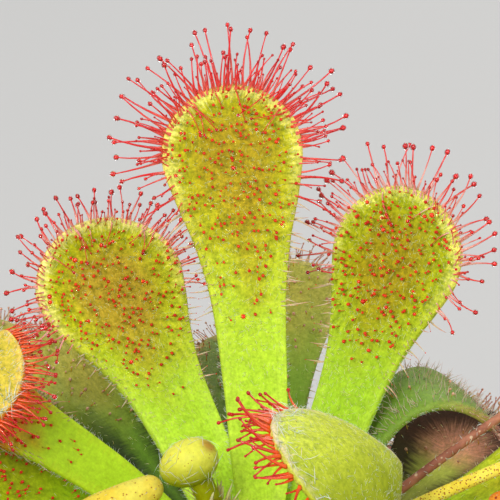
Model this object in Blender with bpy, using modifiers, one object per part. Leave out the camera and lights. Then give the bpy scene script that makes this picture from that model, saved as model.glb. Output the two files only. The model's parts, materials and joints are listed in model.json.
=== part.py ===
"""Potted sundew: a rosette of spoon-shaped leaves edged with sticky tentacles, in a small plastic pot.

The rosette's leaves are each a separate solid, set round a short crown stem that stands in a hole in
the soil. Every leaf is one thick blade on a tapering stalk, with its tentacles fused to it. Among the
leaves rise the bud of the next one, two young flower stems and a dry old one.
Metres, +Z up. The origin is the middle of the pot's flat underside, and -Y is the front.
"""

import math
import random

import bmesh
import bpy
from mathutils import Matrix, Vector
from mathutils.bvhtree import BVHTree

MM = 0.001

# Driving sizes of the pot, in metres
POT_HEIGHT = 58 * MM
POT_RIM_RADIUS = 33 * MM
POT_RIM_DEPTH = 8 * MM
POT_TOP_RADIUS = 31 * MM
POT_FOOT_RADIUS = 23 * MM
POT_WALL = 1.4 * MM
POT_FLOOR = 2.0 * MM
POT_SIDES = 40
DRAIN_HOLES = 6
DRAIN_RADIUS = 2.4 * MM
DRAIN_CIRCLE = 14 * MM

# Soil and crown
FIT_GAP = 0.3 * MM
SOIL_BELOW_RIM = 3.0 * MM
SOIL_DOME = 1.2 * MM
CROWN_RADIUS = 3.4 * MM
CROWN_TOP_RADIUS = 0.9 * MM
CROWN_HEIGHT = 9.0 * MM
CROWN_BURIED = 9.0 * MM
CROWN_SIDES = 12

# Leaves
BLADE_THICKNESS = 0.85 * MM
LEAF_COLUMNS = 4
LEAF_ROWS = (8, 3)
TIP_ARC = math.radians(75)
SPINE_STEPS = 48
STEM_STEPS = 3
STEM_END_ANGLES = [math.radians(a) for a in (0, 35, 65, 85)]
WELD = 0.02 * MM
TENTACLES_START = 0.60

# Tentacles, at true size
TENTACLE_FOOT_RADIUS = 0.19 * MM
TENTACLE_NECK_RADIUS = 0.10 * MM
GLAND_RADIUS = 0.28 * MM
TENTACLE_SINK = 0.55 * MM
TENTACLE_CLEARANCE = 0.45 * MM

SHARP_ANGLE = math.radians(42)
SEED = 7

# Half width of a leaf along its stalk, as a share of the blade's half width
LEAF_OUTLINE = (
    (0.0, 0.13), (0.07, 0.25), (0.16, 0.37), (0.4, 0.435), (0.63, 0.52), (0.78, 0.68), (0.89, 0.87), (1.0, 1.0),
)

SOIL_TOP = POT_HEIGHT - SOIL_BELOW_RIM
CROWN_FOOT = SOIL_TOP + SOIL_DOME


def leaf(name, heading, rise, length, width, level, **shape):
    """A leaf's own numbers: heading and angles in degrees, sizes in millimetres.

    heading is the compass direction in plan, 90 being straight back, and rise is the stalk's slope where
    it leaves the crown. arch bends it evenly, curl bends its last part up or down, sway turns its heading,
    twist turns it round its own line, roll then winds its last part towards its own face, and cup raises
    the blade's sides. rim and face count its tentacles, whose length is reach, and rows divide its stalk
    and its round end.
    """
    made = dict(arch=0.0, curl=0.0, curl_from=0.7, sway=0.0, twist=0.0, roll=0.0, roll_from=0.7, cup=0.1)
    made.update(rim=16, face=4, reach=3.8)
    made["rows"] = LEAF_ROWS
    made.update(shape)
    made.update(name=name, heading=heading, rise=rise, length=length, width=width, level=level)
    return made


LEAVES = (
    leaf("leaf_centre", 93.5, 64.5, 39.0, 12.3, 6.6, sway=16, cup=-0.04, rim=26, face=12, reach=4.6),
    leaf("leaf_left", 120.4, 42, 33.1, 13.6, 5.2, sway=17, curl=10, twist=-15, rim=26, face=10, reach=3.2),
    leaf("leaf_right", 49.5, 53.5, 33.0, 13.0, 5.8, arch=11, cup=-0.05, rim=26, face=10, reach=3.7),
    leaf(
        "leaf_curled", 163.5, 42.5, 36.0, 9.4, 4.4, arch=-16, sway=24, twist=-50, roll=145, roll_from=0.63,
        rows=(14, 7),
    ),
    leaf("leaf_low_left", 173, 33, 29.5, 12.4, 2.4, twist=-20, cup=0.08, reach=2.2),
    leaf("leaf_back_left", 130, 29, 30.0, 10.4, 2.8, cup=0.08, reach=2.2),
    leaf("leaf_far_left", 141, 28, 36.0, 10.5, 0.8, reach=2.2),
    leaf("leaf_back_small", 94, 17, 33.0, 8.4, 1.4, arch=-2, reach=2.2),
    leaf("leaf_back_right", 86, 28, 34.5, 9.4, 2.8, arch=-2, cup=0.08, reach=2.2),
    leaf(
        "leaf_arched", 43.5, 53.2, 28.0, 9.2, 3.8, sway=-23, curl=-112, curl_from=0.45, cup=-0.05, reach=2.2,
        rows=(11, 3),
    ),
    leaf("leaf_brown", 43, 20.5, 26.3, 12.4, 1.2, cup=0.2, reach=2.2),
    leaf("leaf_low_right", 8, 29, 32.0, 11.0, 3.4, twist=10, cup=0.06, reach=2.2),
    leaf("leaf_folded", -56.5, 30, 30.5, 14.4, 6.4, curl=154, curl_from=0.3, twist=25, cup=0.2, rows=(12, 4)),
    leaf("leaf_front_right", -24, 17, 34.0, 11.0, 1.8, arch=-6),
    leaf("leaf_front_low_right", -60, 15, 35.0, 11.0, 2.6, arch=-10),
    leaf("leaf_front", -94, 17, 33.0, 10.5, 1.8, arch=-8),
    leaf("leaf_front_low_left", -125, 15, 35.0, 11.0, 2.8, arch=-10),
    leaf("leaf_front_left", -153, 14, 34.0, 10.5, 1.4, arch=-4),
)

# Stems as (x, y, height above the soil, radius) in millimetres, from the crown outwards, and any round
# bud at the end as (x, y, height), its half length, its half width and the direction it points in
STEMS = {
    "leaf_bud": dict(
        look="leaf",
        path=((-1.9, -1.4, 7.6, 0.7), (-3.2, -1.5, 10.4, 0.9), (-4.4, -1.2, 12.8, 1.0), (-5.4, -1.0, 15.2, 1.0)),
        bud=((-6.25, -0.9, 16.5), 2.55, 1.95, (0.9, 0.0, 0.45)),
    ),
    "young_scape": dict(
        look="scape",
        path=(
            (-2.9, -2.0, 6.2, 0.8), (-6.5, -4.8, 7.6, 1.0), (-11.0, -6.9, 9.6, 1.2), (-14.6, -7.2, 11.4, 1.3),
            (-15.8, -6.9, 13.6, 1.35), (-13.6, -6.4, 15.0, 1.4), (-11.0, -5.8, 15.9, 1.4), (-9.4, -5.4, 16.5, 1.2),
        ),
        bud=None,
    ),
    "new_scape": dict(
        look="scape",
        path=(
            (2.4, 0.0, 6.9, 0.6), (5.4, -0.3, 8.7, 0.55), (9.0, -0.7, 10.7, 0.55), (12.5, -1.2, 12.8, 0.55),
            (16.0, -1.7, 14.9, 0.55), (19.6, -2.2, 16.9, 0.55), (23.0, -2.7, 18.2, 0.55), (26.0, -3.2, 18.4, 0.55),
            (28.2, -3.6, 17.2, 0.55), (28.2, -3.8, 15.0, 0.55), (26.2, -4.0, 13.8, 0.6), (23.4, -4.1, 13.6, 0.65),
        ),
        bud=((20.7, -4.1, 14.2), 2.7, 1.25, (-1.0, 0.0, 0.25)),
    ),
    "old_scape": dict(
        look="old_scape",
        path=(
            (2.9, 0.25, 4.75, 0.42), (6.5, 1.2, 7.8, 0.42), (10.8, 3.0, 11.4, 0.4), (15.2, 3.8, 14.8, 0.38),
            (19.6, 4.5, 18.0, 0.36), (24.5, 5.4, 20.8, 0.34), (30.0, 6.3, 23.0, 0.32), (36.0, 7.0, 24.0, 0.3),
        ),
        bud=None,
    ),
}

COLOURS = {
    "leaf": ((0.36, 0.62, 0.04), 0.5),
    "pot": ((0.42, 0.15, 0.08), 0.55),
    "soil": ((0.06, 0.035, 0.02), 0.95),
    "crown": ((0.28, 0.3, 0.06), 0.7),
    "scape": ((0.72, 0.6, 0.06), 0.5),
    "old_scape": ((0.16, 0.05, 0.05), 0.6),
}


def clear_scene():
    for old in list(bpy.data.objects):
        bpy.data.objects.remove(old)


def new_collection(name):
    made = bpy.data.collections.new(name)
    bpy.context.scene.collection.children.link(made)
    return made


def material(name):
    colour, roughness = COLOURS[name]
    made = bpy.data.materials.new(name)
    made.use_nodes = True
    shader = made.node_tree.nodes["Principled BSDF"]
    shader.inputs["Base Color"].default_value = (*colour, 1)
    shader.inputs["Roughness"].default_value = roughness
    return made


def smooth(share):
    share = min(max(share, 0.0), 1.0)
    return share * share * (3 - 2 * share)


def outline_half_width(share):
    """The leaf outline's relative half width, by a cubic through the named points."""
    last = len(LEAF_OUTLINE) - 1
    slopes = []
    for i in range(last + 1):
        before = LEAF_OUTLINE[max(i - 1, 0)]
        after = LEAF_OUTLINE[min(i + 1, last)]
        slopes.append((after[1] - before[1]) / (after[0] - before[0]))
    slopes[last] = 0.0
    i = next((k for k in range(last) if share <= LEAF_OUTLINE[k + 1][0]), last - 1)
    (x0, y0), (x1, y1) = LEAF_OUTLINE[i], LEAF_OUTLINE[i + 1]
    span = x1 - x0
    t = (share - x0) / span
    return (
        y0 * (2 * t**3 - 3 * t**2 + 1)
        + slopes[i] * span * (t**3 - 2 * t**2 + t)
        + y1 * (3 * t**2 - 2 * t**3)
        + slopes[i + 1] * span * (t**3 - t**2)
    )


def crown_radius(level):
    """The crown stem's radius at a height in metres above the soil."""
    share = min(max(level / CROWN_HEIGHT, 0.0), 1.0)
    return CROWN_RADIUS + (CROWN_TOP_RADIUS - CROWN_RADIUS) * share


class Spine:
    """A leaf's middle line, walked out from the crown in even steps, with its direction and its face."""

    def __init__(self, leaf):
        self.length = leaf["length"] * MM
        self.leaf = leaf
        step = self.length / SPINE_STEPS
        heading = math.radians(leaf["heading"])
        level = leaf["level"] * MM
        out = crown_radius(level) + FIT_GAP + 0.5 * BLADE_THICKNESS * math.sin(math.radians(leaf["rise"]))
        place = Vector((out * math.cos(heading), out * math.sin(heading), CROWN_FOOT + level))
        self.points = [place]
        for i in range(SPINE_STEPS):
            along = self.direction((i + 0.5) / SPINE_STEPS)[0]
            self.points.append(self.points[-1] + along * step)

    def direction(self, share):
        """(along, face, side) at a share of the length. The face is the leaf's upper side."""
        leaf = self.leaf
        bend = leaf["curl"] * smooth((share - leaf["curl_from"]) / (1 - leaf["curl_from"]))
        rise = math.radians(leaf["rise"] + leaf["arch"] * share + bend)
        heading = math.radians(leaf["heading"] + leaf["sway"] * share)
        along = Vector(
            (math.cos(heading) * math.cos(rise), math.sin(heading) * math.cos(rise), math.sin(rise))
        )
        face = Vector(
            (-math.cos(heading) * math.sin(rise), -math.sin(heading) * math.sin(rise), math.cos(rise))
        )
        turn = Matrix.Rotation(math.radians(leaf["twist"]) * smooth(2 * share), 3, along)
        face = turn @ face
        wound = math.radians(leaf["roll"]) * smooth((share - leaf["roll_from"]) / (1 - leaf["roll_from"]))
        cosine, sine = math.cos(wound), math.sin(wound)
        along, face = along * cosine + face * sine, face * cosine - along * sine
        return along, face, along.cross(face)

    def at(self, distance):
        share = min(max(distance / self.length, 0.0), 1.0)
        i = min(int(share * SPINE_STEPS), SPINE_STEPS - 1)
        part = share * SPINE_STEPS - i
        point = self.points[i].lerp(self.points[i + 1], part)
        return point, *self.direction(share)


class LeafForm:
    """The leaf's surface: a point for each place across it (-1 to 1) and along it."""

    def __init__(self, leaf):
        self.leaf = leaf
        self.spine = Spine(leaf)
        self.half = leaf["width"] * MM / 2
        self.tip = 0.94 * self.half
        self.straight = self.spine.length - self.tip
        self.stalk_rows, self.tip_rows = leaf["rows"]

    def place(self, sideways, distance):
        """A point on the middle surface, sideways from the middle line by a distance in metres."""
        point, _, face, side = self.spine.at(distance)
        lift = self.leaf["cup"] * sideways * sideways / self.half
        return point + side * sideways + face * lift

    def grid_point(self, across, row):
        if row <= self.stalk_rows:
            share = (row / self.stalk_rows) ** 0.85
            return self.place(across * self.half * outline_half_width(share), share * self.straight)
        blend = (row - self.stalk_rows) / self.tip_rows
        angle = across * TIP_ARC
        sideways = self.half * ((1 - blend) * across + blend * math.sin(angle))
        return self.place(sideways, self.straight + blend * self.tip * math.cos(angle))

    def margin(self, turn):
        """(sideways, distance) on the blade's edge, from -1 at one side of the stalk to 1 at the other."""
        round_part = 0.62
        if abs(turn) <= round_part:
            angle = turn / round_part * math.pi / 2
            return self.half * math.sin(angle), self.straight + self.tip * math.cos(angle)
        down = (abs(turn) - round_part) / (1 - round_part)
        share = 1 - down * (1 - TENTACLES_START)
        return math.copysign(self.half * outline_half_width(share), turn), share * self.straight


def blade_mesh(form):
    """The bare blade and stalk: a grid bent to the leaf's surface, then given its thickness."""
    rows = form.stalk_rows + form.tip_rows
    bpy.ops.mesh.primitive_grid_add(x_subdivisions=LEAF_COLUMNS, y_subdivisions=rows, size=2)
    sheet = bpy.context.object
    for vertex in sheet.data.vertices:
        row = round((vertex.co.y + 1) / 2 * rows)
        vertex.co = form.grid_point(vertex.co.x, row)
    thick = sheet.modifiers.new("thickness", "SOLIDIFY")
    thick.thickness = BLADE_THICKNESS
    thick.offset = 0.0
    return applied(sheet)


def applied(obj):
    """The object's evaluated mesh in its place. The object itself is removed."""
    bpy.context.view_layer.update()
    graph = bpy.context.evaluated_depsgraph_get()
    mesh = bpy.data.meshes.new_from_object(obj.evaluated_get(graph))
    mesh.transform(obj.matrix_world)
    bpy.data.objects.remove(obj)
    return mesh


def tree_of(mesh):
    return BVHTree.FromPolygons([v.co[:] for v in mesh.vertices], [p.vertices[:] for p in mesh.polygons])


def tentacle_mesh(root, direction, length):
    """One three-sided stalk with a gland at its end, from a cone whose top is drawn out to the gland."""
    made = bmesh.new()
    bmesh.ops.create_cone(
        made,
        cap_ends=True,
        segments=3,
        radius1=TENTACLE_FOOT_RADIUS,
        radius2=TENTACLE_NECK_RADIUS,
        depth=length,
        matrix=Matrix.Translation((0, 0, length / 2)),
    )
    top = max(made.faces, key=lambda face: face.calc_center_median().z)
    for rise, radius in ((GLAND_RADIUS, GLAND_RADIUS), (GLAND_RADIUS, None)):
        if radius is None:
            peak = top.calc_center_median() + Vector((0, 0, rise))
            bmesh.ops.poke(made, faces=[top])
            max(made.verts, key=lambda v: (v.co.z, -v.co.xy.length)).co = peak
            continue
        grown = bmesh.ops.extrude_discrete_faces(made, faces=[top])["faces"][0]
        centre = grown.calc_center_median()
        for vertex in grown.verts:
            spread = (vertex.co - centre).normalized() * radius
            vertex.co = centre + spread + Vector((0, 0, rise))
        top = grown
    turn = direction.to_track_quat("Z", "Y").to_matrix().to_4x4()
    made.transform(Matrix.Translation(root) @ turn)
    mesh = bpy.data.meshes.new("tentacle")
    made.to_mesh(mesh)
    made.free()
    return mesh


def tentacle_places(form, draw):
    """(root, direction, length) of each tentacle of a leaf: a fringe round the blade, and some on its face."""
    leaf = form.leaf
    count = leaf["rim"]
    for i in range(count):
        turn = -1 + 2 * (i + 0.5) / count
        here = form.place(*form.margin(turn))
        ahead = form.place(*form.margin(min(turn + 0.01, 1)))
        behind = form.place(*form.margin(max(turn - 0.01, -1)))
        _, distance = form.margin(turn)
        _, along, face, _ = form.spine.at(distance)
        edge = (ahead - behind).normalized()
        outward = face.cross(edge).normalized()
        lift = math.radians(draw.uniform(2, 30))
        lean = math.radians(draw.uniform(-8, 8))
        direction = outward * math.cos(lift) * math.cos(lean) + face * math.sin(lift) + edge * math.sin(lean)
        length = leaf["reach"] * MM * (1 - 0.3 * smooth((abs(turn) - 0.5) * 2)) * draw.uniform(0.82, 1.05)
        yield here - outward * TENTACLE_SINK, direction.normalized(), length + TENTACLE_SINK
    for i in range(leaf["face"]):
        radius = math.sqrt((i + 0.5) / leaf["face"]) * 0.78
        angle = i * math.radians(137.5)
        sideways = radius * form.half * math.cos(angle)
        distance = form.straight - 0.3 * form.half + radius * form.half * 1.25 * math.sin(angle)
        here = form.place(sideways, distance)
        _, along, face, side = form.spine.at(distance)
        lean = side * math.cos(angle) * 0.3 + along * math.sin(angle) * 0.3
        direction = (face + lean).normalized()
        length = draw.uniform(1.3, 2.2) * MM
        yield here, direction, length + 0.5 * BLADE_THICKNESS


def is_clear(root, direction, length, trees):
    """True where the tentacle keeps its clearance from every other leaf and stem."""
    samples = 7
    reach = length + 2 * GLAND_RADIUS
    for i in range(samples + 1):
        point = root + direction * (reach * i / samples)
        if any(tree.find_nearest(point, TENTACLE_CLEARANCE)[0] is not None for tree in trees):
            return False
    return all(tree.ray_cast(root, direction, reach)[0] is None for tree in trees)


def is_rooted(root, direction, length, blade):
    """True where the tentacle starts inside its own blade and doesn't meet it again further out."""
    surface, normal, _, _ = blade.find_nearest(root)
    if (root - surface).dot(normal) > -TENTACLE_FOOT_RADIUS:
        return False
    samples = 6
    reach = length + 2 * GLAND_RADIUS
    start = min(2.5 * TENTACLE_SINK / reach, 1)
    for i in range(samples + 1):
        point = root + direction * reach * (start + (1 - start) * i / samples)
        if blade.find_nearest(point, TENTACLE_CLEARANCE)[0] is not None:
            return False
    return True


def fuse(base, extras, name, home, look):
    """One object from a base mesh and the meshes that grow from it."""
    made = bpy.data.objects.new(name, base)
    home.objects.link(made)
    if not extras:
        base.materials.append(look)
        return made
    repeats = new_collection(name + "_repeats")
    for mesh in extras:
        repeats.objects.link(bpy.data.objects.new("repeat", mesh))
    join = made.modifiers.new("join", "BOOLEAN")
    join.operation = "UNION"
    join.operand_type = "COLLECTION"
    join.collection = repeats
    join.solver = "MANIFOLD"
    bpy.context.view_layer.update()
    graph = bpy.context.evaluated_depsgraph_get()
    whole = bpy.data.meshes.new_from_object(made.evaluated_get(graph))
    made.modifiers.clear()
    made.data = whole
    for extra in list(repeats.objects):
        bpy.data.objects.remove(extra)
    bpy.data.collections.remove(repeats)
    whole.materials.clear()
    whole.materials.append(look)
    return made


def shade(mesh):
    mesh.shade_smooth()
    mesh.set_sharp_from_angle(angle=SHARP_ANGLE)


def turned(name, profile, sides, home, look):
    """A solid of revolution round Z from (radius, height) points that run down its outer side."""
    line = bpy.data.meshes.new(name)
    line.from_pydata([(r, 0, z) for r, z in profile], [(i, i + 1) for i in range(len(profile) - 1)], [])
    holder = bpy.data.objects.new(name, line)
    home.objects.link(holder)
    spin = holder.modifiers.new("turn", "SCREW")
    spin.axis = "Z"
    spin.steps = sides
    spin.render_steps = sides
    spin.use_merge_vertices = True
    spin.merge_threshold = 0.00001
    mesh = applied(holder)
    shade(mesh)
    mesh.materials.append(look)
    made = bpy.data.objects.new(name, mesh)
    home.objects.link(made)
    return made


def make_pot(home, look, cutters):
    rim_inside = POT_TOP_RADIUS - POT_WALL
    foot_inside = POT_FOOT_RADIUS - POT_WALL
    pot = turned(
        "pot",
        (
            (0, POT_FLOOR),
            (foot_inside, POT_FLOOR),
            (rim_inside, POT_HEIGHT - 1 * MM),
            (rim_inside + 0.6 * MM, POT_HEIGHT),
            (POT_RIM_RADIUS - 0.6 * MM, POT_HEIGHT),
            (POT_RIM_RADIUS, POT_HEIGHT - 0.8 * MM),
            (POT_RIM_RADIUS - 0.5 * MM, POT_HEIGHT - POT_RIM_DEPTH),
            (POT_TOP_RADIUS - 1 * MM, POT_HEIGHT - POT_RIM_DEPTH - 0.6 * MM),
            (POT_FOOT_RADIUS, 1 * MM),
            (POT_FOOT_RADIUS - 0.9 * MM, 0),
            (0, 0),
        ),
        POT_SIDES,
        home,
        look,
    )
    for i in range(DRAIN_HOLES):
        angle = 2 * math.pi * (i + 0.5) / DRAIN_HOLES
        bpy.ops.mesh.primitive_cylinder_add(
            vertices=12,
            radius=DRAIN_RADIUS,
            depth=4 * POT_FLOOR,
            location=(DRAIN_CIRCLE * math.cos(angle), DRAIN_CIRCLE * math.sin(angle), 0),
        )
        cutter = bpy.context.object
        cutter.name = f"drain_cutter_{i + 1}"
        for old in list(cutter.users_collection):
            old.objects.unlink(cutter)
        cutters.objects.link(cutter)
        cutter.hide_render = True
        cutter.display_type = "WIRE"
    cut = pot.modifiers.new("drain holes", "BOOLEAN")
    cut.operation = "DIFFERENCE"
    cut.operand_type = "COLLECTION"
    cut.collection = cutters
    return pot


def make_soil(home, look):
    """The filling: a plug that follows the pot's wall, with a plain hole for the crown stem."""
    foot = POT_FLOOR + FIT_GAP
    slope = (POT_TOP_RADIUS - POT_FOOT_RADIUS) / (POT_HEIGHT - 1 * MM - POT_FLOOR)
    wall = POT_FOOT_RADIUS - POT_WALL - 1.3 * FIT_GAP
    hole = CROWN_RADIUS + FIT_GAP
    return turned(
        "soil",
        (
            (0, SOIL_TOP - CROWN_BURIED - FIT_GAP),
            (hole, SOIL_TOP - CROWN_BURIED - FIT_GAP),
            (hole, CROWN_FOOT),
            (14 * MM, SOIL_TOP + 0.9 * SOIL_DOME),
            (24 * MM, SOIL_TOP + 0.3 * SOIL_DOME),
            (wall + slope * (SOIL_TOP - POT_FLOOR), SOIL_TOP),
            (wall + slope * (foot - POT_FLOOR), foot),
            (0, foot),
        ),
        POT_SIDES,
        home,
        look,
    )


def make_crown(home, look):
    """The short stem that carries the leaves, standing in the soil's hole."""
    top = CROWN_FOOT + CROWN_HEIGHT
    return turned(
        "crown",
        (
            (0, top + 0.5 * MM),
            (CROWN_TOP_RADIUS * 0.7, top + 0.3 * MM),
            (CROWN_TOP_RADIUS, top),
            (CROWN_RADIUS, CROWN_FOOT),
            (CROWN_RADIUS, SOIL_TOP - CROWN_BURIED + 2 * MM),
            (CROWN_RADIUS * 0.5, SOIL_TOP - CROWN_BURIED),
            (0, SOIL_TOP - CROWN_BURIED),
        ),
        CROWN_SIDES,
        home,
        look,
    )


def stem_line(path):
    """(place, radius) pairs along a smooth line through a stem's points, in metres, with a rounded end."""
    points = [Vector((x, y, z)) * MM + Vector((0, 0, CROWN_FOOT)) for x, y, z, _ in path]
    line = []
    for i in range(len(points) - 1):
        before, after = points[max(i - 1, 0)], points[min(i + 2, len(points) - 1)]
        for k in range(STEM_STEPS):
            t = k / STEM_STEPS
            place = 0.5 * (
                2 * points[i]
                + (points[i + 1] - before) * t
                + (2 * before - 5 * points[i] + 4 * points[i + 1] - after) * t**2
                + (3 * points[i] - before - 3 * points[i + 1] + after) * t**3
            )
            line.append((place, (path[i][3] * (1 - t) + path[i + 1][3] * t) * MM))
    end = points[-1]
    onward = (end - line[-1][0]).normalized()
    radius = path[-1][3] * MM
    line += [(end + onward * radius * math.sin(a), radius * math.cos(a)) for a in STEM_END_ANGLES]
    return line


def tube_mesh(line):
    """A closed round stem along a line of (place, radius), from a bevelled curve with its caps welded on."""
    curve = bpy.data.curves.new("stem", "CURVE")
    curve.dimensions = "3D"
    curve.bevel_depth = 1.0
    curve.bevel_resolution = 2
    curve.use_fill_caps = True
    spline = curve.splines.new("POLY")
    spline.points.add(len(line) - 1)
    for point, (place, radius) in zip(spline.points, line):
        point.co = (*place, 1)
        point.radius = radius
    holder = bpy.data.objects.new("stem", curve)
    bpy.context.scene.collection.objects.link(holder)
    mesh = applied(holder)
    made = bmesh.new()
    made.from_mesh(mesh)
    bmesh.ops.remove_doubles(made, verts=made.verts, dist=WELD)
    made.to_mesh(mesh)
    made.free()
    return mesh


def bud_mesh(bud):
    """An egg-shaped bud."""
    (x, y, z), half_length, half_width, direction = bud
    bpy.ops.mesh.primitive_uv_sphere_add(segments=12, ring_count=8, radius=1)
    egg = bpy.context.object
    egg.scale = (half_width * MM, half_width * MM, half_length * MM)
    egg.rotation_euler = Vector(direction).to_track_quat("Z", "Y").to_euler()
    egg.location = Vector((x, y, z)) * MM + Vector((0, 0, CROWN_FOOT))
    return applied(egg)


def make_stems(home, looks):
    """The bud of the next leaf and the flower stems. Returns a search tree for each."""
    trees = []
    for name, stem in STEMS.items():
        tube = tube_mesh(stem_line(stem["path"]))
        extras = [bud_mesh(stem["bud"])] if stem["bud"] else []
        made = fuse(tube, extras, name, home, looks[stem["look"]])
        shade(made.data)
        trees.append(tree_of(made.data))
    return trees


def make_leaves(home, look, stems):
    draw = random.Random(SEED)
    forms = [LeafForm(each) for each in LEAVES]
    blades = [blade_mesh(form) for form in forms]
    trees = [tree_of(blade) for blade in blades]
    for i, form in enumerate(forms):
        others = trees[:i] + trees[i + 1 :] + stems
        fringe = []
        for root, direction, length in tentacle_places(form, draw):
            if is_rooted(root, direction, length, trees[i]) and is_clear(root, direction, length, others):
                fringe.append(tentacle_mesh(root, direction, length))
        made = fuse(blades[i], fringe, form.leaf["name"], home, look)
        shade(made.data)
        trees[i] = tree_of(made.data)


def main():
    clear_scene()
    home = new_collection("potted_sundew")
    cutters = new_collection("cutters")
    looks = {name: material(name) for name in COLOURS}
    make_pot(home, looks["pot"], cutters)
    make_soil(home, looks["soil"])
    make_crown(home, looks["crown"])
    stems = make_stems(home, looks)
    make_leaves(home, looks["leaf"], stems)


main()
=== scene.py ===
# Looks of a potted sundew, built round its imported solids. Metres, Z up, origin under the pot's middle.
import json
import math

import bpy
import numpy as np
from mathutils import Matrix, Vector
from mathutils.bvhtree import BVHTree

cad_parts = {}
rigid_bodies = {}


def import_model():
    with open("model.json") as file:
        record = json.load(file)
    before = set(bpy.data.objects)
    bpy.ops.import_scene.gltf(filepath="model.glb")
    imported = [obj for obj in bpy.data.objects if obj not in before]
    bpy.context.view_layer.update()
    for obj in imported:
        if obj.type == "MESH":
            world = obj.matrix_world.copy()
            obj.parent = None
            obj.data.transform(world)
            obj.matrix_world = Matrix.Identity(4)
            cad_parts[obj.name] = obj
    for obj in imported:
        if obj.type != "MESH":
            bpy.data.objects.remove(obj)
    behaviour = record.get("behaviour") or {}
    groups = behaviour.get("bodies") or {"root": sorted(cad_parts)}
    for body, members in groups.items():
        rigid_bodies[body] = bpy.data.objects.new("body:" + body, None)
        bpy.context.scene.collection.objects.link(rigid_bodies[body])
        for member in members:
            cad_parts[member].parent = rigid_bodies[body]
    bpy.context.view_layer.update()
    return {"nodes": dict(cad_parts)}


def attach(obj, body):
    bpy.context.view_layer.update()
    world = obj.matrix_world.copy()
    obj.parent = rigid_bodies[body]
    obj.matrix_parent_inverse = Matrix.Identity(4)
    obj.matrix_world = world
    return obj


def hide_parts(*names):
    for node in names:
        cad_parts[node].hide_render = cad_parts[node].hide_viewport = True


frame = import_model()

mm = 0.001
crownFoot = 56.2 * mm  # top of the soil at the crown


# small helpers


def deselectAll():
    if bpy.context.object and bpy.context.object.mode != "OBJECT":
        bpy.ops.object.mode_set(mode="OBJECT")
    bpy.ops.object.select_all(action="DESELECT")


def pick(piece):
    deselectAll()
    piece.select_set(True)
    bpy.context.view_layer.objects.active = piece


def applyAll(piece):
    # fixes the piece's modifiers and place into its mesh
    pick(piece)
    for each in [m.name for m in piece.modifiers]:
        bpy.ops.object.modifier_apply(modifier=each)
    bpy.ops.object.transform_apply(location=True, rotation=True, scale=True)


def addPiece(piece, name, materials, replaced=()):
    # names a finished piece, gives it its materials and sets it on the part
    piece.name = name
    piece.data.name = name
    for each in materials:
        if each.name not in piece.data.materials:
            piece.data.materials.append(each)
    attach(piece, "root")
    if replaced:
        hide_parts(*replaced)
    return piece


def newObject(name, data):
    # puts a curve, mesh, lamp or lens into the scene
    made = bpy.data.objects.new(name, data)
    bpy.context.scene.collection.objects.link(made)
    return made


def cutAcross(levels):
    # in edit mode, cuts the whole mesh across at each height
    for level in levels:
        bpy.ops.mesh.select_all(action="SELECT")
        bpy.ops.mesh.bisect(plane_co=(0, 0, level), plane_no=(0, 0, 1))


def narrowTo(share):
    # in edit mode, draws what is selected in towards the upright line through the origin
    bpy.ops.transform.resize(value=(share, share, 1), center_override=(0, 0, 0))


def readAll(items, key, width=1, kind=float):
    # one number, or a row of numbers, for every vertex, corner or face
    values = np.zeros(len(items) * width, dtype=kind)
    items.foreach_get(key, values)
    return values.reshape(-1, width) if width > 1 else values


def markPoints(mesh, name, values, kind="FLOAT", field="value"):
    # keeps a value for every vertex, which materials read by its name
    marks = mesh.attributes.new(name, kind, "POINT")
    marks.data.foreach_set(field, np.ravel(values).astype(np.float32))


def smoothStep(share):
    share = np.clip(share, 0.0, 1.0)
    return share * share * (3 - 2 * share)


def unit(vectors):
    return vectors / np.maximum(np.linalg.norm(vectors, axis=-1, keepdims=True), 1e-12)


# camera

cameraLook = {
    "elevation": 25,  # degrees above level
    "distance": 0.30,
    "pixelsPerMm": 12.0,
    "aimHeight": 4,  # mm up the crown to the point that is aimed at
    "aimPixel": (265, 590),  # where that point shows
    "frame": 500,
}


def addCamera(look):
    rise = math.radians(look["elevation"])
    right = Vector((1, 0, 0))
    up = Vector((0, math.sin(rise), math.cos(rise)))
    back = Vector((0, -math.cos(rise), math.sin(rise)))
    half = look["frame"] / 2
    scale = look["pixelsPerMm"] / mm
    aim = Vector((0, 0, crownFoot + look["aimHeight"] * mm))
    aim += right * ((half - look["aimPixel"][0]) / scale) + up * ((look["aimPixel"][1] - half) / scale)
    lens = bpy.data.cameras.new("camera")
    camera = newObject("camera", lens)
    camera.location = aim + back * look["distance"]
    camera.rotation_euler = (-back).to_track_quat("-Z", "Y").to_euler()
    lens.lens = lens.sensor_width * look["distance"] / (look["frame"] / scale)
    lens.clip_start = 0.01
    bpy.context.scene.camera = camera


addCamera(cameraLook)
print("camera placed")


# shader helpers


def newMaterial(name):
    made = bpy.data.materials.new(name)
    made.use_nodes = True
    tree = made.node_tree
    return made, tree, tree.nodes["Principled BSDF"]


def addNode(tree, kind, **settings):
    node = tree.nodes.new(kind)
    for key, value in settings.items():
        setattr(node, key, value)
    return node


def link(tree, source, target):
    tree.links.new(source, target)


def setInputs(node, values):
    for key, value in values.items():
        node.inputs[key].default_value = value


def feed(tree, socket, value):
    # sets a number or a colour on a socket, or links an output to it
    if isinstance(value, (int, float)):
        socket.default_value = value
    elif isinstance(value, tuple):
        socket.default_value = (*value, 1)
    else:
        link(tree, value, socket)


def mathNode(tree, operation, *values):
    node = addNode(tree, "ShaderNodeMath", operation=operation)
    for socket, value in zip(node.inputs, values):
        feed(tree, socket, value)
    return node.outputs[0]


def swing(tree, noise, amount):
    # a noise's swing about its middle, times an amount
    return mathNode(tree, "MULTIPLY", mathNode(tree, "SUBTRACT", noise, 0.5), amount)


def shifted(tree, base, noise, amount):
    return mathNode(tree, "ADD", base, swing(tree, noise, amount))


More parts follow.
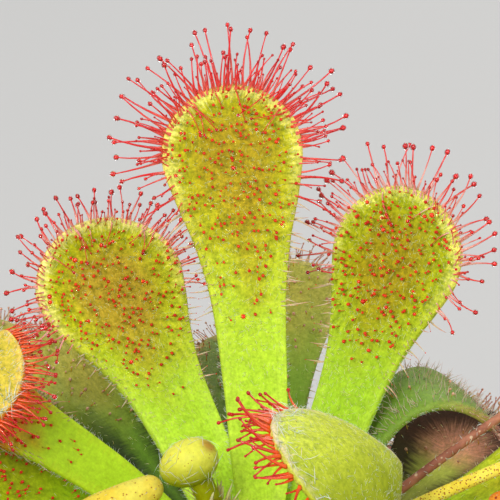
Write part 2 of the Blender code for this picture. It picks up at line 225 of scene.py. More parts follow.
def rangeNode(tree, value, low, high, toLow=0.0, toHigh=1.0):
    node = addNode(tree, "ShaderNodeMapRange", interpolation_type="SMOOTHSTEP")
    sockets = ("Value", "From Min", "From Max", "To Min", "To Max")
    for key, each in zip(sockets, (value, low, high, toLow, toHigh)):
        feed(tree, node.inputs[key], each)
    return node.outputs["Result"]


def mixColour(tree, share, first, second, blend="MIX"):
    node = addNode(tree, "ShaderNodeMix", data_type="RGBA", blend_type=blend)
    for place, value in ((0, share), (6, first), (7, second)):
        feed(tree, node.inputs[place], value)
    return node.outputs[2]


def dimmed(colour, share):
    return tuple(share * each for each in colour)


def objectPlace(tree):
    return addNode(tree, "ShaderNodeTexCoord").outputs["Object"]


def markOf(tree, name, output="Fac"):
    # a value that the mesh keeps for each vertex
    return addNode(tree, "ShaderNodeAttribute", attribute_name=name).outputs[output]


def noiseNode(tree, vector, scale, detail=3.0, roughness=0.55, stretch=None):
    node = addNode(tree, "ShaderNodeTexNoise")
    setInputs(node, {"Scale": scale, "Detail": detail, "Roughness": roughness})
    if stretch:
        mapping = addNode(tree, "ShaderNodeMapping")
        setInputs(mapping, {"Scale": stretch})
        link(tree, vector, mapping.inputs["Vector"])
        vector = mapping.outputs["Vector"]
    link(tree, vector, node.inputs["Vector"])
    return node.outputs["Fac"]


def addRelief(tree, shader, height, strength, distance):
    # a fine bump on the surface
    relief = addNode(tree, "ShaderNodeBump")
    setInputs(relief, {"Strength": strength, "Distance": distance})
    link(tree, height, relief.inputs["Height"])
    link(tree, relief.outputs["Normal"], shader.inputs["Normal"])


def newGroup(name, colours, numbers, outputs):
    # a shader group with its colour inputs, its number inputs with their starting values, and its outputs
    group = bpy.data.node_groups.new(name, "ShaderNodeTree")
    for title in colours:
        group.interface.new_socket(title, in_out="INPUT", socket_type="NodeSocketColor")
    for title, start in numbers.items():
        socket = group.interface.new_socket(title, in_out="INPUT", socket_type="NodeSocketFloat")
        socket.default_value = start
    for title, kind in outputs.items():
        group.interface.new_socket(title, in_out="OUTPUT", socket_type=kind)
    return group, addNode(group, "NodeGroupInput"), addNode(group, "NodeGroupOutput")


def placeGroup(tree, group, values):
    node = addNode(tree, "ShaderNodeGroup", node_tree=group)
    for key, value in values.items():
        feed(tree, node.inputs[key], value)
    return node


# leaf skin, shared by every leaf


leafGrain = {
    # noise scales, from coarse to fine
    "blotch": 260,
    "velvet": 1250,
    "grain": 2300,
    "fine": 5200,
    # per mm across, along and in from the edge
    "fibres": (5.5, 0.34, 0.0),
    "streaks": (4.2, 0.55, 1.0),
    "deepFrom": 1.0,  # mm in from the edge where the middle's colour starts
    "deepTo": 4.4,
    "tint": (("Red", 1.15), ("Green", 1.0), ("Blue", 1.6)),  # how far the mottling moves each channel
    "relief": 0.09 * mm,
}


def makeLeafSkin(look):
    # reads leafPlace (mm sideways, along and in from the edge), leafAlong (0 foot to 1 tip) and rimPlace
    group, start, end = newGroup(
        "leafSkin",
        ("stalk", "blade", "middle", "edge"),
        dict(
            bladeFrom=0.45, bladeTo=0.8, middleAmount=0.6, edgeWidth=1.3, edgeFull=0.1, edgeFrom=0.66,
            edgeTo=0.9, mottle=0.9,
        ),
        {"colour": "NodeSocketColor", "roughness": "NodeSocketFloat", "height": "NodeSocketFloat"},
    )
    given = start.outputs
    place = markOf(group, "leafPlace", "Vector")
    along = markOf(group, "leafAlong")
    split = addNode(group, "ShaderNodeSeparateXYZ")
    link(group, place, split.inputs[0])
    inward = split.outputs["Z"]
    rimVector = addNode(group, "ShaderNodeCombineXYZ")
    link(group, markOf(group, "rimPlace"), rimVector.inputs[0])
    link(group, inward, rimVector.inputs[1])
    spot = objectPlace(group)

    blotch = noiseNode(group, spot, look["blotch"], 2.0)
    velvet = noiseNode(group, spot, look["velvet"], 2.0, 0.5)
    grain = noiseNode(group, spot, look["grain"], 3.0, 0.6)
    fine = noiseNode(group, spot, look["fine"], 2.0, 0.6)
    fibre = noiseNode(group, place, 1.0, 3.0, 0.55, look["fibres"])
    streak = noiseNode(group, rimVector.outputs[0], 1.0, 2.0, 0.5, look["streaks"])

    # from the stalk's colour to the blade's, with a deeper middle and a paler or darker edge; the darker edge
    # of the brown and shaded looks is painted shade
    bladeShare = rangeNode(group, shifted(group, along, blotch, 0.16), given["bladeFrom"], given["bladeTo"])
    colour = mixColour(group, bladeShare, given["stalk"], given["blade"])
    deep = rangeNode(group, shifted(group, inward, blotch, 3.0), look["deepFrom"], look["deepTo"])
    deep = mathNode(group, "MULTIPLY", deep, mathNode(group, "MULTIPLY", bladeShare, given["middleAmount"]))
    colour = mixColour(group, deep, colour, given["middle"])
    band = rangeNode(group, shifted(group, inward, streak, 2.6), given["edgeWidth"], given["edgeFull"])
    reached = rangeNode(group, along, given["edgeFrom"], given["edgeTo"], 0.08, 0.95)
    colour = mixColour(group, mathNode(group, "MULTIPLY", band, reached), colour, given["edge"])

    # mottling, stronger on the blade than on the stalk
    shade = shifted(group, swing(group, grain, 1.2), fine, 0.9)
    shade = shifted(group, shade, velvet, 0.7)
    shade = shifted(group, shade, fibre, rangeNode(group, bladeShare, 0.0, 1.0, 0.5, 0.25))
    mottle = mathNode(group, "MULTIPLY", given["mottle"], rangeNode(group, bladeShare, 0.0, 1.0, 0.55, 1.0))
    shade = mathNode(group, "MULTIPLY", shade, mottle)
    tint = addNode(group, "ShaderNodeCombineColor")
    for channel, amount in look["tint"]:
        lit = mathNode(group, "MAXIMUM", mathNode(group, "MULTIPLY_ADD", shade, amount, 1.0), 0.0)
        link(group, lit, tint.inputs[channel])
    link(group, mixColour(group, 1.0, colour, tint.outputs[0], "MULTIPLY"), end.inputs["colour"])

    link(group, rangeNode(group, grain, 0.3, 0.7, 0.48, 0.66), end.inputs["roughness"])
    height = mathNode(
        group, "ADD", mathNode(group, "MULTIPLY", grain, 0.7), mathNode(group, "MULTIPLY", fibre, 0.6)
    )
    link(group, mathNode(group, "ADD", height, mathNode(group, "MULTIPLY", fine, 0.35)), end.inputs["height"])
    return group


leafSkin = makeLeafSkin(leafGrain)


def leafMaterial(name, look):
    made, tree, shader = newMaterial(name)
    skin = placeGroup(tree, leafSkin, look)
    link(tree, skin.outputs["colour"], shader.inputs["Base Color"])
    link(tree, skin.outputs["roughness"], shader.inputs["Roughness"])
    addRelief(tree, shader, skin.outputs["height"], 0.5, leafGrain["relief"])
    setInputs(shader, {
        "Subsurface Weight": 0.2,
        "Subsurface Radius": (0.75, 1.0, 0.12),
        "Subsurface Scale": 0.0005,
        "Specular IOR Level": 0.16,
        "Sheen Weight": 0.02,
        "Sheen Roughness": 0.4,
    })
    return made


leafLooks = {
    "bright": dict(
        stalk=(0.47, 0.71, 0.030), blade=(0.46, 0.46, 0.005), middle=(0.40, 0.28, 0.008),
        edge=(0.88, 0.86, 0.18), middleAmount=0.8, edgeWidth=1.6, mottle=1.1, bladeFrom=0.36, bladeTo=0.78
    ),
    "hollow": dict(
        stalk=(0.53, 0.82, 0.040), blade=(0.48, 0.52, 0.006), middle=(0.46, 0.33, 0.022),
        edge=(0.92, 0.86, 0.24), middleAmount=0.95, edgeWidth=1.5, mottle=1.05, bladeFrom=0.40, bladeTo=0.76
    ),
    "golden": dict(
        stalk=(0.38, 0.62, 0.022), blade=(0.39, 0.46, 0.004), middle=(0.36, 0.255, 0.004),
        edge=(0.82, 0.82, 0.15), middleAmount=0.78, edgeWidth=1.5, mottle=1.1, bladeFrom=0.42, bladeTo=0.78
    ),
    "dull": dict(
        stalk=(0.23, 0.40, 0.036), blade=(0.50, 0.48, 0.080), middle=(0.50, 0.40, 0.060),
        edge=(0.56, 0.46, 0.14), middleAmount=0.5, edgeWidth=1.0, mottle=0.8, bladeFrom=0.55, bladeTo=0.95
    ),
    "arched": dict(
        stalk=(0.17, 0.31, 0.030), blade=(0.22, 0.31, 0.055), middle=(0.22, 0.25, 0.050),
        edge=(0.46, 0.36, 0.09), middleAmount=0.5, edgeWidth=1.0, mottle=0.8, bladeFrom=0.55, bladeTo=0.95
    ),
    # a darker copy of the dull look: its darker stalk and near-black green edge band are painted shade from
    # the leaves above it
    "shaded": dict(
        stalk=(0.17, 0.34, 0.020), blade=(0.50, 0.48, 0.080), middle=(0.50, 0.40, 0.060),
        edge=(0.030, 0.050, 0.008), middleAmount=0.5, edgeWidth=3.0, edgeFull=0.7, edgeFrom=0.8, edgeTo=0.5,
        mottle=0.8, bladeFrom=0.5, bladeTo=0.9
    ),
    "green": dict(
        stalk=(0.28, 0.52, 0.004), blade=(0.38, 0.52, 0.004), middle=(0.34, 0.37, 0.005),
        edge=(0.52, 0.54, 0.03), middleAmount=0.5, edgeWidth=0.9, mottle=0.8, bladeFrom=0.35, bladeTo=0.75
    ),
    # a withered pinkish-brown leaf; its near-black edge band over the upper blade is painted shade under the
    # arched leaf
    "brown": dict(
        stalk=(0.60, 0.66, 0.09), blade=(0.84, 0.40, 0.20), middle=(0.80, 0.34, 0.20),
        edge=(0.022, 0.007, 0.002), middleAmount=0.7, edgeWidth=5.2, edgeFull=1.5, edgeFrom=0.34,
        edgeTo=0.62, mottle=0.7, bladeFrom=0.66, bladeTo=0.82
    ),
    "under": dict(
        stalk=(0.46, 0.56, 0.03), blade=(0.56, 0.62, 0.05), middle=(0.40, 0.47, 0.015),
        edge=(0.72, 0.74, 0.16), middleAmount=0.7, edgeWidth=1.8, mottle=0.5, bladeFrom=0.3, bladeTo=0.7
    ),
    "folded": dict(
        stalk=(0.27, 0.33, 0.004), blade=(0.64, 0.72, 0.070), middle=(0.50, 0.58, 0.018),
        edge=(0.80, 0.68, 0.40), middleAmount=0.6, edgeWidth=0.9, mottle=0.95, bladeFrom=0.6, bladeTo=0.95
    ),
    # backs of the dull leaves: a reddish-brown of their own, darkened to near black on the blade as painted
    # shade under the arched leaf
    "dullUnderShade": dict(
        stalk=(0.15, 0.21, 0.02), blade=(0.055, 0.022, 0.005), middle=(0.030, 0.008, 0.002),
        edge=(0.22, 0.12, 0.04), middleAmount=0.8, edgeWidth=0.8, mottle=0.7, bladeFrom=0.3, bladeTo=0.7
    ),
    "curled": dict(
        stalk=(0.49, 0.76, 0.022), blade=(0.64, 0.17, 0.010), middle=(0.60, 0.12, 0.008),
        edge=(0.70, 0.30, 0.02), middleAmount=0.95, edgeWidth=0.8, mottle=0.7, bladeFrom=0.54, bladeTo=0.65
    ),
    "curledUnder": dict(
        stalk=(0.48, 0.58, 0.03), blade=(0.66, 0.52, 0.05), middle=(0.60, 0.47, 0.03),
        edge=(0.80, 0.55, 0.10), middleAmount=0.5, edgeWidth=0.8, mottle=0.9, bladeFrom=0.4, bladeTo=0.7
    ),
}
leafMaterials = {name: leafMaterial("leaf_" + name, look) for name, look in leafLooks.items()}


# tentacles, glands, dew and hairs


def strandMaterial(name, foot, tip, middle, roughness, subsurface=0.4, coat=0.0, shine=0.5):
    # colour runs from foot to tip along strandShare, with a tone of its own for each strand
    made, tree, shader = newMaterial(name)
    speck = noiseNode(tree, objectPlace(tree), 3600, 2.0)
    run = shifted(tree, markOf(tree, "strandShare"), markOf(tree, "strandTone"), 0.5)
    colour = mixColour(tree, rangeNode(tree, run, middle - 0.3, middle + 0.3), foot, tip)
    colour = mixColour(tree, rangeNode(tree, speck, 0.4, 0.75, 0.0, 0.3), colour, dimmed(tip, 0.6))
    link(tree, colour, shader.inputs["Base Color"])
    link(
        tree, rangeNode(tree, speck, 0.3, 0.7, roughness - 0.06, roughness + 0.06),
        shader.inputs["Roughness"]
    )
    setInputs(shader, {
        "Subsurface Weight": subsurface,
        "Subsurface Radius": (1.0, 0.25, 0.2),
        "Subsurface Scale": 0.0002,
        "Coat Weight": coat,
        "Coat Roughness": 0.05,
        "Specular IOR Level": shine,
    })
    return made


strandLooks = {
    "red": dict(foot=(0.93, 0.17, 0.12), tip=(0.76, 0.014, 0.018), middle=0.3, roughness=0.3, coat=0.35),
    "pale": dict(foot=(0.92, 0.50, 0.42), tip=(0.78, 0.05, 0.045), middle=0.45, roughness=0.32, coat=0.35),
    "mixed": dict(foot=(0.92, 0.42, 0.34), tip=(0.76, 0.03, 0.03), middle=0.42, roughness=0.3, coat=0.35),
    "orange": dict(
        foot=(0.90, 0.11, 0.012), tip=(0.64, 0.010, 0.008), middle=0.5, roughness=0.3, coat=0.3,
        subsurface=0.15
    ),
    "old": dict(foot=(0.62, 0.46, 0.28), tip=(0.48, 0.20, 0.14), middle=0.5, roughness=0.45, coat=0.15),
    "fine": dict(foot=(0.70, 0.56, 0.34), tip=(0.68, 0.32, 0.22), middle=0.75, roughness=0.4, coat=0.1),
    "short": dict(
        foot=(0.55, 0.42, 0.02), tip=(0.66, 0.07, 0.012), middle=0.5, roughness=0.45, coat=0.0, shine=0.3
    ),
    "white": dict(foot=(0.74, 0.74, 0.50), tip=(0.86, 0.86, 0.78), middle=0.4, roughness=0.4),
    "fuzz": dict(foot=(0.60, 0.52, 0.36), tip=(0.70, 0.44, 0.36), middle=0.5, roughness=0.5),
    # pale cream curls: painted sheen on the leaves' faces
    "curl": dict(foot=(0.78, 0.74, 0.16), tip=(0.92, 0.89, 0.46), middle=0.4, roughness=0.3),
    "gland": dict(
        foot=(0.60, 0.007, 0.008), tip=(0.40, 0.003, 0.005), middle=0.5, roughness=0.3, subsurface=0.0,
        coat=0.28, shine=0.4
    ),
    "dot": dict(
        foot=(0.80, 0.048, 0.008), tip=(0.54, 0.010, 0.005), middle=0.5, roughness=0.35, subsurface=0.0,
        coat=0.12, shine=0.25
    ),
    "dullDot": dict(
        foot=(0.70, 0.40, 0.25), tip=(0.54, 0.24, 0.15), middle=0.5, roughness=0.4, subsurface=0.0,
        coat=0.1, shine=0.3
    ),
}
strandMaterials = {name: strandMaterial("tentacle_" + name, **look) for name, look in strandLooks.items()}


def dewMaterial():
    made, tree, shader = newMaterial("dew_clear")
    cloud = noiseNode(tree, objectPlace(tree), 900, 2.0)
    link(tree, rangeNode(tree, cloud, 0.2, 0.8, 0.0, 0.03), shader.inputs["Roughness"])
    setInputs(shader, {"Base Color": (1.0, 0.98, 0.97, 1), "Transmission Weight": 1.0, "IOR": 1.34})
    return made


dewClear = dewMaterial()


def shapeArrays(piece):
    # a modelled shape's points and faces, so that it can be copied many times; the shape itself is removed
    mesh = piece.data
    points = readAll(mesh.vertices, "co", 3)
    corners = readAll(mesh.loops, "vertex_index", kind=np.int32)
    starts = readAll(mesh.polygons, "loop_start", kind=np.int32)
    sizes = readAll(mesh.polygons, "loop_total", kind=np.int32)
    bpy.data.objects.remove(piece)
    return points, corners, starts, sizes


strandLook = {
    "sides": 5,
    "rings": (0.0, 0.08, 0.26, 0.5, 0.76, 1.0),
    "radii": (1.0, 0.80, 0.63, 0.51, 0.40, 0.36),
    "hairSides": 3,
    "hairRings": (0.0, 0.35, 0.7, 1.0),
    "hairRadii": (1.0, 0.82, 0.5, 0.12),
}


def modelStrand(sides, rings, radii):
    # an upright tapering rod, one long, from a cylinder cut across at each ring
    deselectAll()
    bpy.ops.mesh.primitive_cylinder_add(vertices=sides, radius=1, depth=1, location=(0, 0, 0.5))
    rod = bpy.context.object
    bpy.ops.object.transform_apply(location=True, rotation=True, scale=True)
    bpy.ops.object.mode_set(mode="EDIT")
    cutAcross(rings[1:-1])
    bpy.ops.object.mode_set(mode="OBJECT")
    for vertex in rod.data.vertices:
        nearest = min(range(len(rings)), key=lambda i: abs(rings[i] - vertex.co.z))
        vertex.co.x *= radii[nearest]
        vertex.co.y *= radii[nearest]
    return shapeArrays(rod)


def modelBall(segments, rings, stretch=1.0):
    # a ball of few faces, one in radius, stretched upwards
    deselectAll()
    bpy.ops.mesh.primitive_uv_sphere_add(segments=segments, ring_count=rings, radius=1)
    ball = bpy.context.object
    bpy.ops.object.mode_set(mode="EDIT")
    bpy.ops.mesh.select_all(action="SELECT")
    bpy.ops.transform.resize(value=(1, 1, stretch))
    bpy.ops.object.mode_set(mode="OBJECT")
    return shapeArrays(ball)


strandShape = modelStrand(strandLook["sides"], strandLook["rings"], strandLook["radii"])
hairShape = modelStrand(strandLook["hairSides"], strandLook["hairRings"], strandLook["hairRadii"])
glandShape = modelBall(segments=7, rings=5, stretch=1.15)
smallGlandShape = modelBall(segments=6, rings=4, stretch=1.1)
dropShape = modelBall(segments=8, rings=5, stretch=1.08)
smallDropShape = modelBall(segments=5, rings=3)
crumbShape = modelBall(segments=5, rings=3)


def meshFrom(name, parts, materials):
    # one mesh object from (places, shape, material index, share, tone) parts, each holding many copies
    points, corners, starts, sizes, indices, shares, tones = [], [], [], [], [], [], []
    pointCount = cornerCount = 0
    for place, shape, index, share, tone in parts:
        copies, each = place.shape[0], place.shape[1]
        if not copies:
            continue
        points.append(place.reshape(-1, 3))
        step = np.arange(copies)[:, None]
        corners.append((shape[1][None] + step * each + pointCount).ravel())
        starts.append((shape[2][None] + step * len(shape[1]) + cornerCount).ravel())
        sizes.append(np.tile(shape[3], copies))
        indices.append(np.full(copies * len(shape[2]), index, dtype=np.int32))
        shares.append(np.broadcast_to(share, (copies, each)).ravel())
        tones.append(np.repeat(tone, each))
        pointCount += copies * each
        cornerCount += copies * len(shape[1])
    mesh = bpy.data.meshes.new(name)
    for each in materials:
        mesh.materials.append(each)
    mesh.vertices.add(pointCount)
    mesh.vertices.foreach_set("co", np.concatenate(points).ravel())
    mesh.loops.add(cornerCount)
    mesh.loops.foreach_set("vertex_index", np.concatenate(corners).astype(np.int32))
    mesh.polygons.add(sum(len(s) for s in starts))
    for key, values in (("loop_start", starts), ("loop_total", sizes), ("material_index", indices)):
        mesh.polygons.foreach_set(key, np.concatenate(values).astype(np.int32))
    mesh.update(calc_edges=True)
    markPoints(mesh, "strandShare", np.concatenate(shares))
    markPoints(mesh, "strandTone", np.concatenate(tones))
    mesh.shade_smooth()
    return newObject(name, mesh)


def strandsFrom(draw, root, way, length, radius, bend, side, **more):
    # many strands at once: their feet, ways, lengths, foot radii, bends and sides, and a tone for each
    single = {"radius": radius, "size": 1.0, "thin": 0.0, **more}
    strands = {key: np.ones(len(length)) * value for key, value in single.items()}
    strands.update(
        root=root, way=way, length=length, bend=bend, side=side, tone=draw.uniform(size=len(length))
    )
    return strands


def strandPlaces(strands, shape, flatten=1.0):
    # bends a copy of the rod along each strand
    root, way, length, radius, bend, side = (
        strands[key] for key in ("root", "way", "length", "radius", "bend", "side")
    )
    x, y, level = shape[0].T
    onward = way[:, None] * (length[:, None] * level)[..., None]
    middle = root[:, None] + onward + bend[:, None] * (level**2)[None, :, None]
    tangent = unit(way[:, None] * length[:, None, None] + 2 * bend[:, None] * level[None, :, None])
    across = unit(side[:, None] - tangent * np.sum(side[:, None] * tangent, axis=-1, keepdims=True))
    other = np.cross(tangent, across)
    width = radius[:, None, None]
    return middle + across * x[None, :, None] * width + other * y[None, :, None] * width * flatten


def endPlaces(strands, shape, radius, along=0.0):
    # sets a ball on each strand's end, turned to the strand, and moved onwards by along times its radius
    way = strands["way"] * strands["length"][:, None]
    onward = unit(way + 2 * strands["bend"])
    side = strands["side"]
    across = unit(side - onward * np.sum(side * onward, axis=-1, keepdims=True))
    other = np.cross(onward, across)
    end = strands["root"] + way + strands["bend"] + onward * (along * radius)[:, None]
    x, y, z = (shape[0][None, :, i, None] for i in range(3))
    return (
        end[:, None]
        + (across[:, None] * x + other[:, None] * y + onward[:, None] * z) * radius[:, None, None]
    )


def rodPart(strands, shape, slot=0, flatten=1.0):
    # bent rods for meshFrom, shaded from foot to tip
    return strandPlaces(strands, shape, flatten), shape, slot, shape[0][:, 2], strands["tone"]


def ballPart(strands, shape, radius, slot=0, along=0.0, share=0.5):
    # a ball on each strand's end for meshFrom
    return endPlaces(strands, shape, radius, along), shape, slot, share, strands["tone"]


def beadPart(centre, size, tone):
    # little balls of dew for meshFrom
    return centre[:, None] + smallDropShape[0][None] * size[:, None, None], smallDropShape, 0, 0.5, tone


def pointOnStrand(strands, share):
    return (
        strands["root"] + strands["way"] * (strands["length"] * share)[:, None]
        + strands["bend"] * (share**2)[:, None]
    )


def selectStrands(strands, keep):
    return {key: value[keep] for key, value in strands.items()}


def joinStrands(several):
    return {key: np.concatenate([each[key] for each in several]) for key in several[0]}


# the leaf's form, as in the solids

leafOutline = (
    (0.0, 0.13), (0.07, 0.25), (0.16, 0.37), (0.4, 0.435), (0.63, 0.52), (0.78, 0.68), (0.89, 0.87),
    (1.0, 1.0)
)
leafForm = {
    "thickness": 0.85 * mm, "crownRadius": 3.4 * mm, "crownTop": 0.9 * mm, "crownHeight": 9.0 * mm,
    "gap": 0.3 * mm, "tipArc": 75
}


def outlineShare(share):
    # half width of a leaf along its stalk, as a share of the blade's, by a cubic through the outline's points
    xs = np.array([p[0] for p in leafOutline])
    ys = np.array([p[1] for p in leafOutline])
    last = len(xs) - 1
    slopes = np.array(
        [
            (ys[min(i + 1, last)] - ys[max(i - 1, 0)]) / (xs[min(i + 1, last)] - xs[max(i - 1, 0)])
            for i in range(last + 1)
        ]
    )
    slopes[last] = 0.0
    share = np.asarray(share, dtype=float)
    i = np.clip(np.searchsorted(xs, share, side="left") - 1, 0, last - 1)
    span = xs[i + 1] - xs[i]
    t = (share - xs[i]) / span
    value = ys[i] * (2 * t**3 - 3 * t**2 + 1) + slopes[i] * span * (t**3 - 2 * t**2 + t)
    return value + ys[i + 1] * (3 * t**2 - 2 * t**3) + slopes[i + 1] * span * (t**3 - t**2)


class LeafShape:
    def __init__(self, leaf):
        self.leaf = leaf
        self.length = leaf["length"] * mm
        self.half = leaf["width"] * mm / 2
        self.tip = 0.94 * self.half
        self.straight = self.length - self.tip
        steps = 480
        level = leaf["level"] * mm
        share = min(max(level / leafForm["crownHeight"], 0), 1)
        crown = leafForm["crownRadius"] + (leafForm["crownTop"] - leafForm["crownRadius"]) * share
        out = crown + leafForm["gap"] + 0.5 * leafForm["thickness"] * math.sin(math.radians(leaf["rise"]))
        heading = math.radians(leaf["heading"])
        start = np.array([out * math.cos(heading), out * math.sin(heading), crownFoot + level])
        along = self.bearings((np.arange(steps) + 0.5) / steps)[0]
        self.line = np.vstack([start, start + np.cumsum(along * self.length / steps, axis=0)])
        self.reach = np.linspace(0, 1, steps + 1)

    def bearings(self, share):
        # along, face and side at each share of the length
        leaf = self.leaf
        bend = leaf["curl"] * smoothStep((share - leaf["curlFrom"]) / (1 - leaf["curlFrom"]))
        rise = np.radians(leaf["rise"] + leaf["arch"] * share + bend)
        heading = np.radians(leaf["heading"] + leaf["sway"] * share)
        along = np.stack(
            [np.cos(heading) * np.cos(rise), np.sin(heading) * np.cos(rise), np.sin(rise)], axis=-1
        )
        face = np.stack(
            [-np.cos(heading) * np.sin(rise), -np.sin(heading) * np.sin(rise), np.cos(rise)], axis=-1
        )
        turn = np.radians(leaf["twist"]) * smoothStep(2 * share)
        face = face * np.cos(turn)[..., None] + np.cross(along, face) * np.sin(turn)[..., None]
        wound = (
            np.radians(leaf["roll"])
            * smoothStep((share - leaf["rollFrom"]) / (1 - leaf["rollFrom"]))[..., None]
        )
        along, face = (
            along * np.cos(wound) + face * np.sin(wound), face * np.cos(wound) - along * np.sin(wound)
        )
        return along, face, np.cross(along, face)

    def widthAt(self, distance):
        return self.half * outlineShare(np.clip(distance / self.straight, 0, 1))

    def inward(self, sideways, distance):
        # how far a place lies from the leaf's edge
        radius = np.hypot(sideways / self.half, np.maximum(distance - self.straight, 0) / self.tip)
        onBlade = (1 - radius) * self.half
        return np.where(distance > self.straight, onBlade, self.widthAt(distance) - np.abs(sideways))

    def place(self, sideways, distance, lift=0.0):
        share = np.clip(distance / self.length, 0, 1)
        point = np.stack([np.interp(share, self.reach, self.line[:, i]) for i in range(3)], axis=-1)
        along, face, side = self.bearings(share)
        raised = self.leaf["cup"] * sideways * sideways / self.half + self.relief(sideways, distance) + lift
        return point + side * sideways[..., None] + face * raised[..., None], along, face, side

    def relief(self, sideways, distance):
        # fine relief: a slightly rolled margin, a shallow channel in the stalk and soft waves in the blade
        inside = np.maximum(self.inward(sideways, distance), 0)
        blade = smoothStep((distance / self.length - 0.45) / 0.3)
        rim = np.exp(-(((inside - 0.9 * mm) / (0.6 * mm)) ** 2)) * 0.10 * mm * blade
        channel = -0.16 * mm * smoothStep(inside / (1.6 * mm)) * (1 - blade)
        phase = self.leaf["heading"] * 0.07
        wave = np.sin(sideways / mm * 1.1 + phase) * np.sin(distance / mm * 0.8 + 2 * phase) * 0.07 * mm
        return (rim + channel + wave * smoothStep(inside / (1.2 * mm))) * self.leaf["relief"]

    def reachAt(self, distance):
        # half width at a distance, on the round end too
        onTip = self.half * np.sqrt(np.clip(1 - ((distance - self.straight) / self.tip) ** 2, 0, 1))
        return np.where(distance > self.straight, onTip, self.widthAt(distance))

    def margin(self, turn):
        # places on the blade's edge, from -1 at one side of the stalk over the tip to 1 at the other
        roundPart = 0.62
        angle = np.clip(turn / roundPart, -1, 1) * math.pi / 2
        share = 1 - np.clip((np.abs(turn) - roundPart) / (1 - roundPart), 0, 1) * 0.4
        onTip = np.abs(turn) <= roundPart
        sideways = np.where(
            onTip, self.half * np.sin(angle), np.sign(turn) * self.widthAt(share * self.straight)
        )
        distance = np.where(onTip, self.straight + self.tip * np.cos(angle), share * self.straight)
        return sideways, distance


leafDefaults = dict(
    arch=0.0, curl=0.0, curlFrom=0.7, sway=0.0, twist=0.0, roll=0.0, rollFrom=0.7, cup=0.1, relief=1.0,
    columns=10, rows=(18, 8), look="dull", under="dullUnderShade"
)
# rim and face count the tentacles, reach and foot give their length and their thickness at the foot in mm
tentacleDefaults = dict(
    rim=34, rimRows=2, rimSpan=(-1, 1), reach=1.9, foot=0.10, strand="old", fine="fine", pull=0.0, wave=0.2,
    comb=(0, 0, 0), head=0.6, dew=0.12,
    face=55, faceFrom=0.5, dot="dullDot", leaning=0, specks=0, curls=120, fuzz=0, hairs=110, backHairs=0,
    backLength=0.3, backRadius=0.014, tangles=0, tangleSpan=(-1, 1),
)
mainLeaf = dict(
    head=1.0, rim=38, rimRows=3, foot=0.16, dew=1.0, face=250, faceFrom=0.44, dot="dot", leaning=9,
    specks=200, curls=1100, hairs=220, columns=24, rows=(36, 14)
)
frontLeaf = dict(
    look="bright", under="under", head=1.0, rim=34, rimRows=2, reach=3.6, foot=0.15, dew=0.9, strand="red",
    face=140, faceFrom=0.45, dot="dot", specks=40, curls=260, hairs=110
)


def leafOf(heading, rise, length, width, level, **rest):
    made = dict(leafDefaults)
    made.update(tentacleDefaults)
    made.update(rest)
    made.update(heading=heading, rise=rise, length=length, width=width, level=level)
    return made


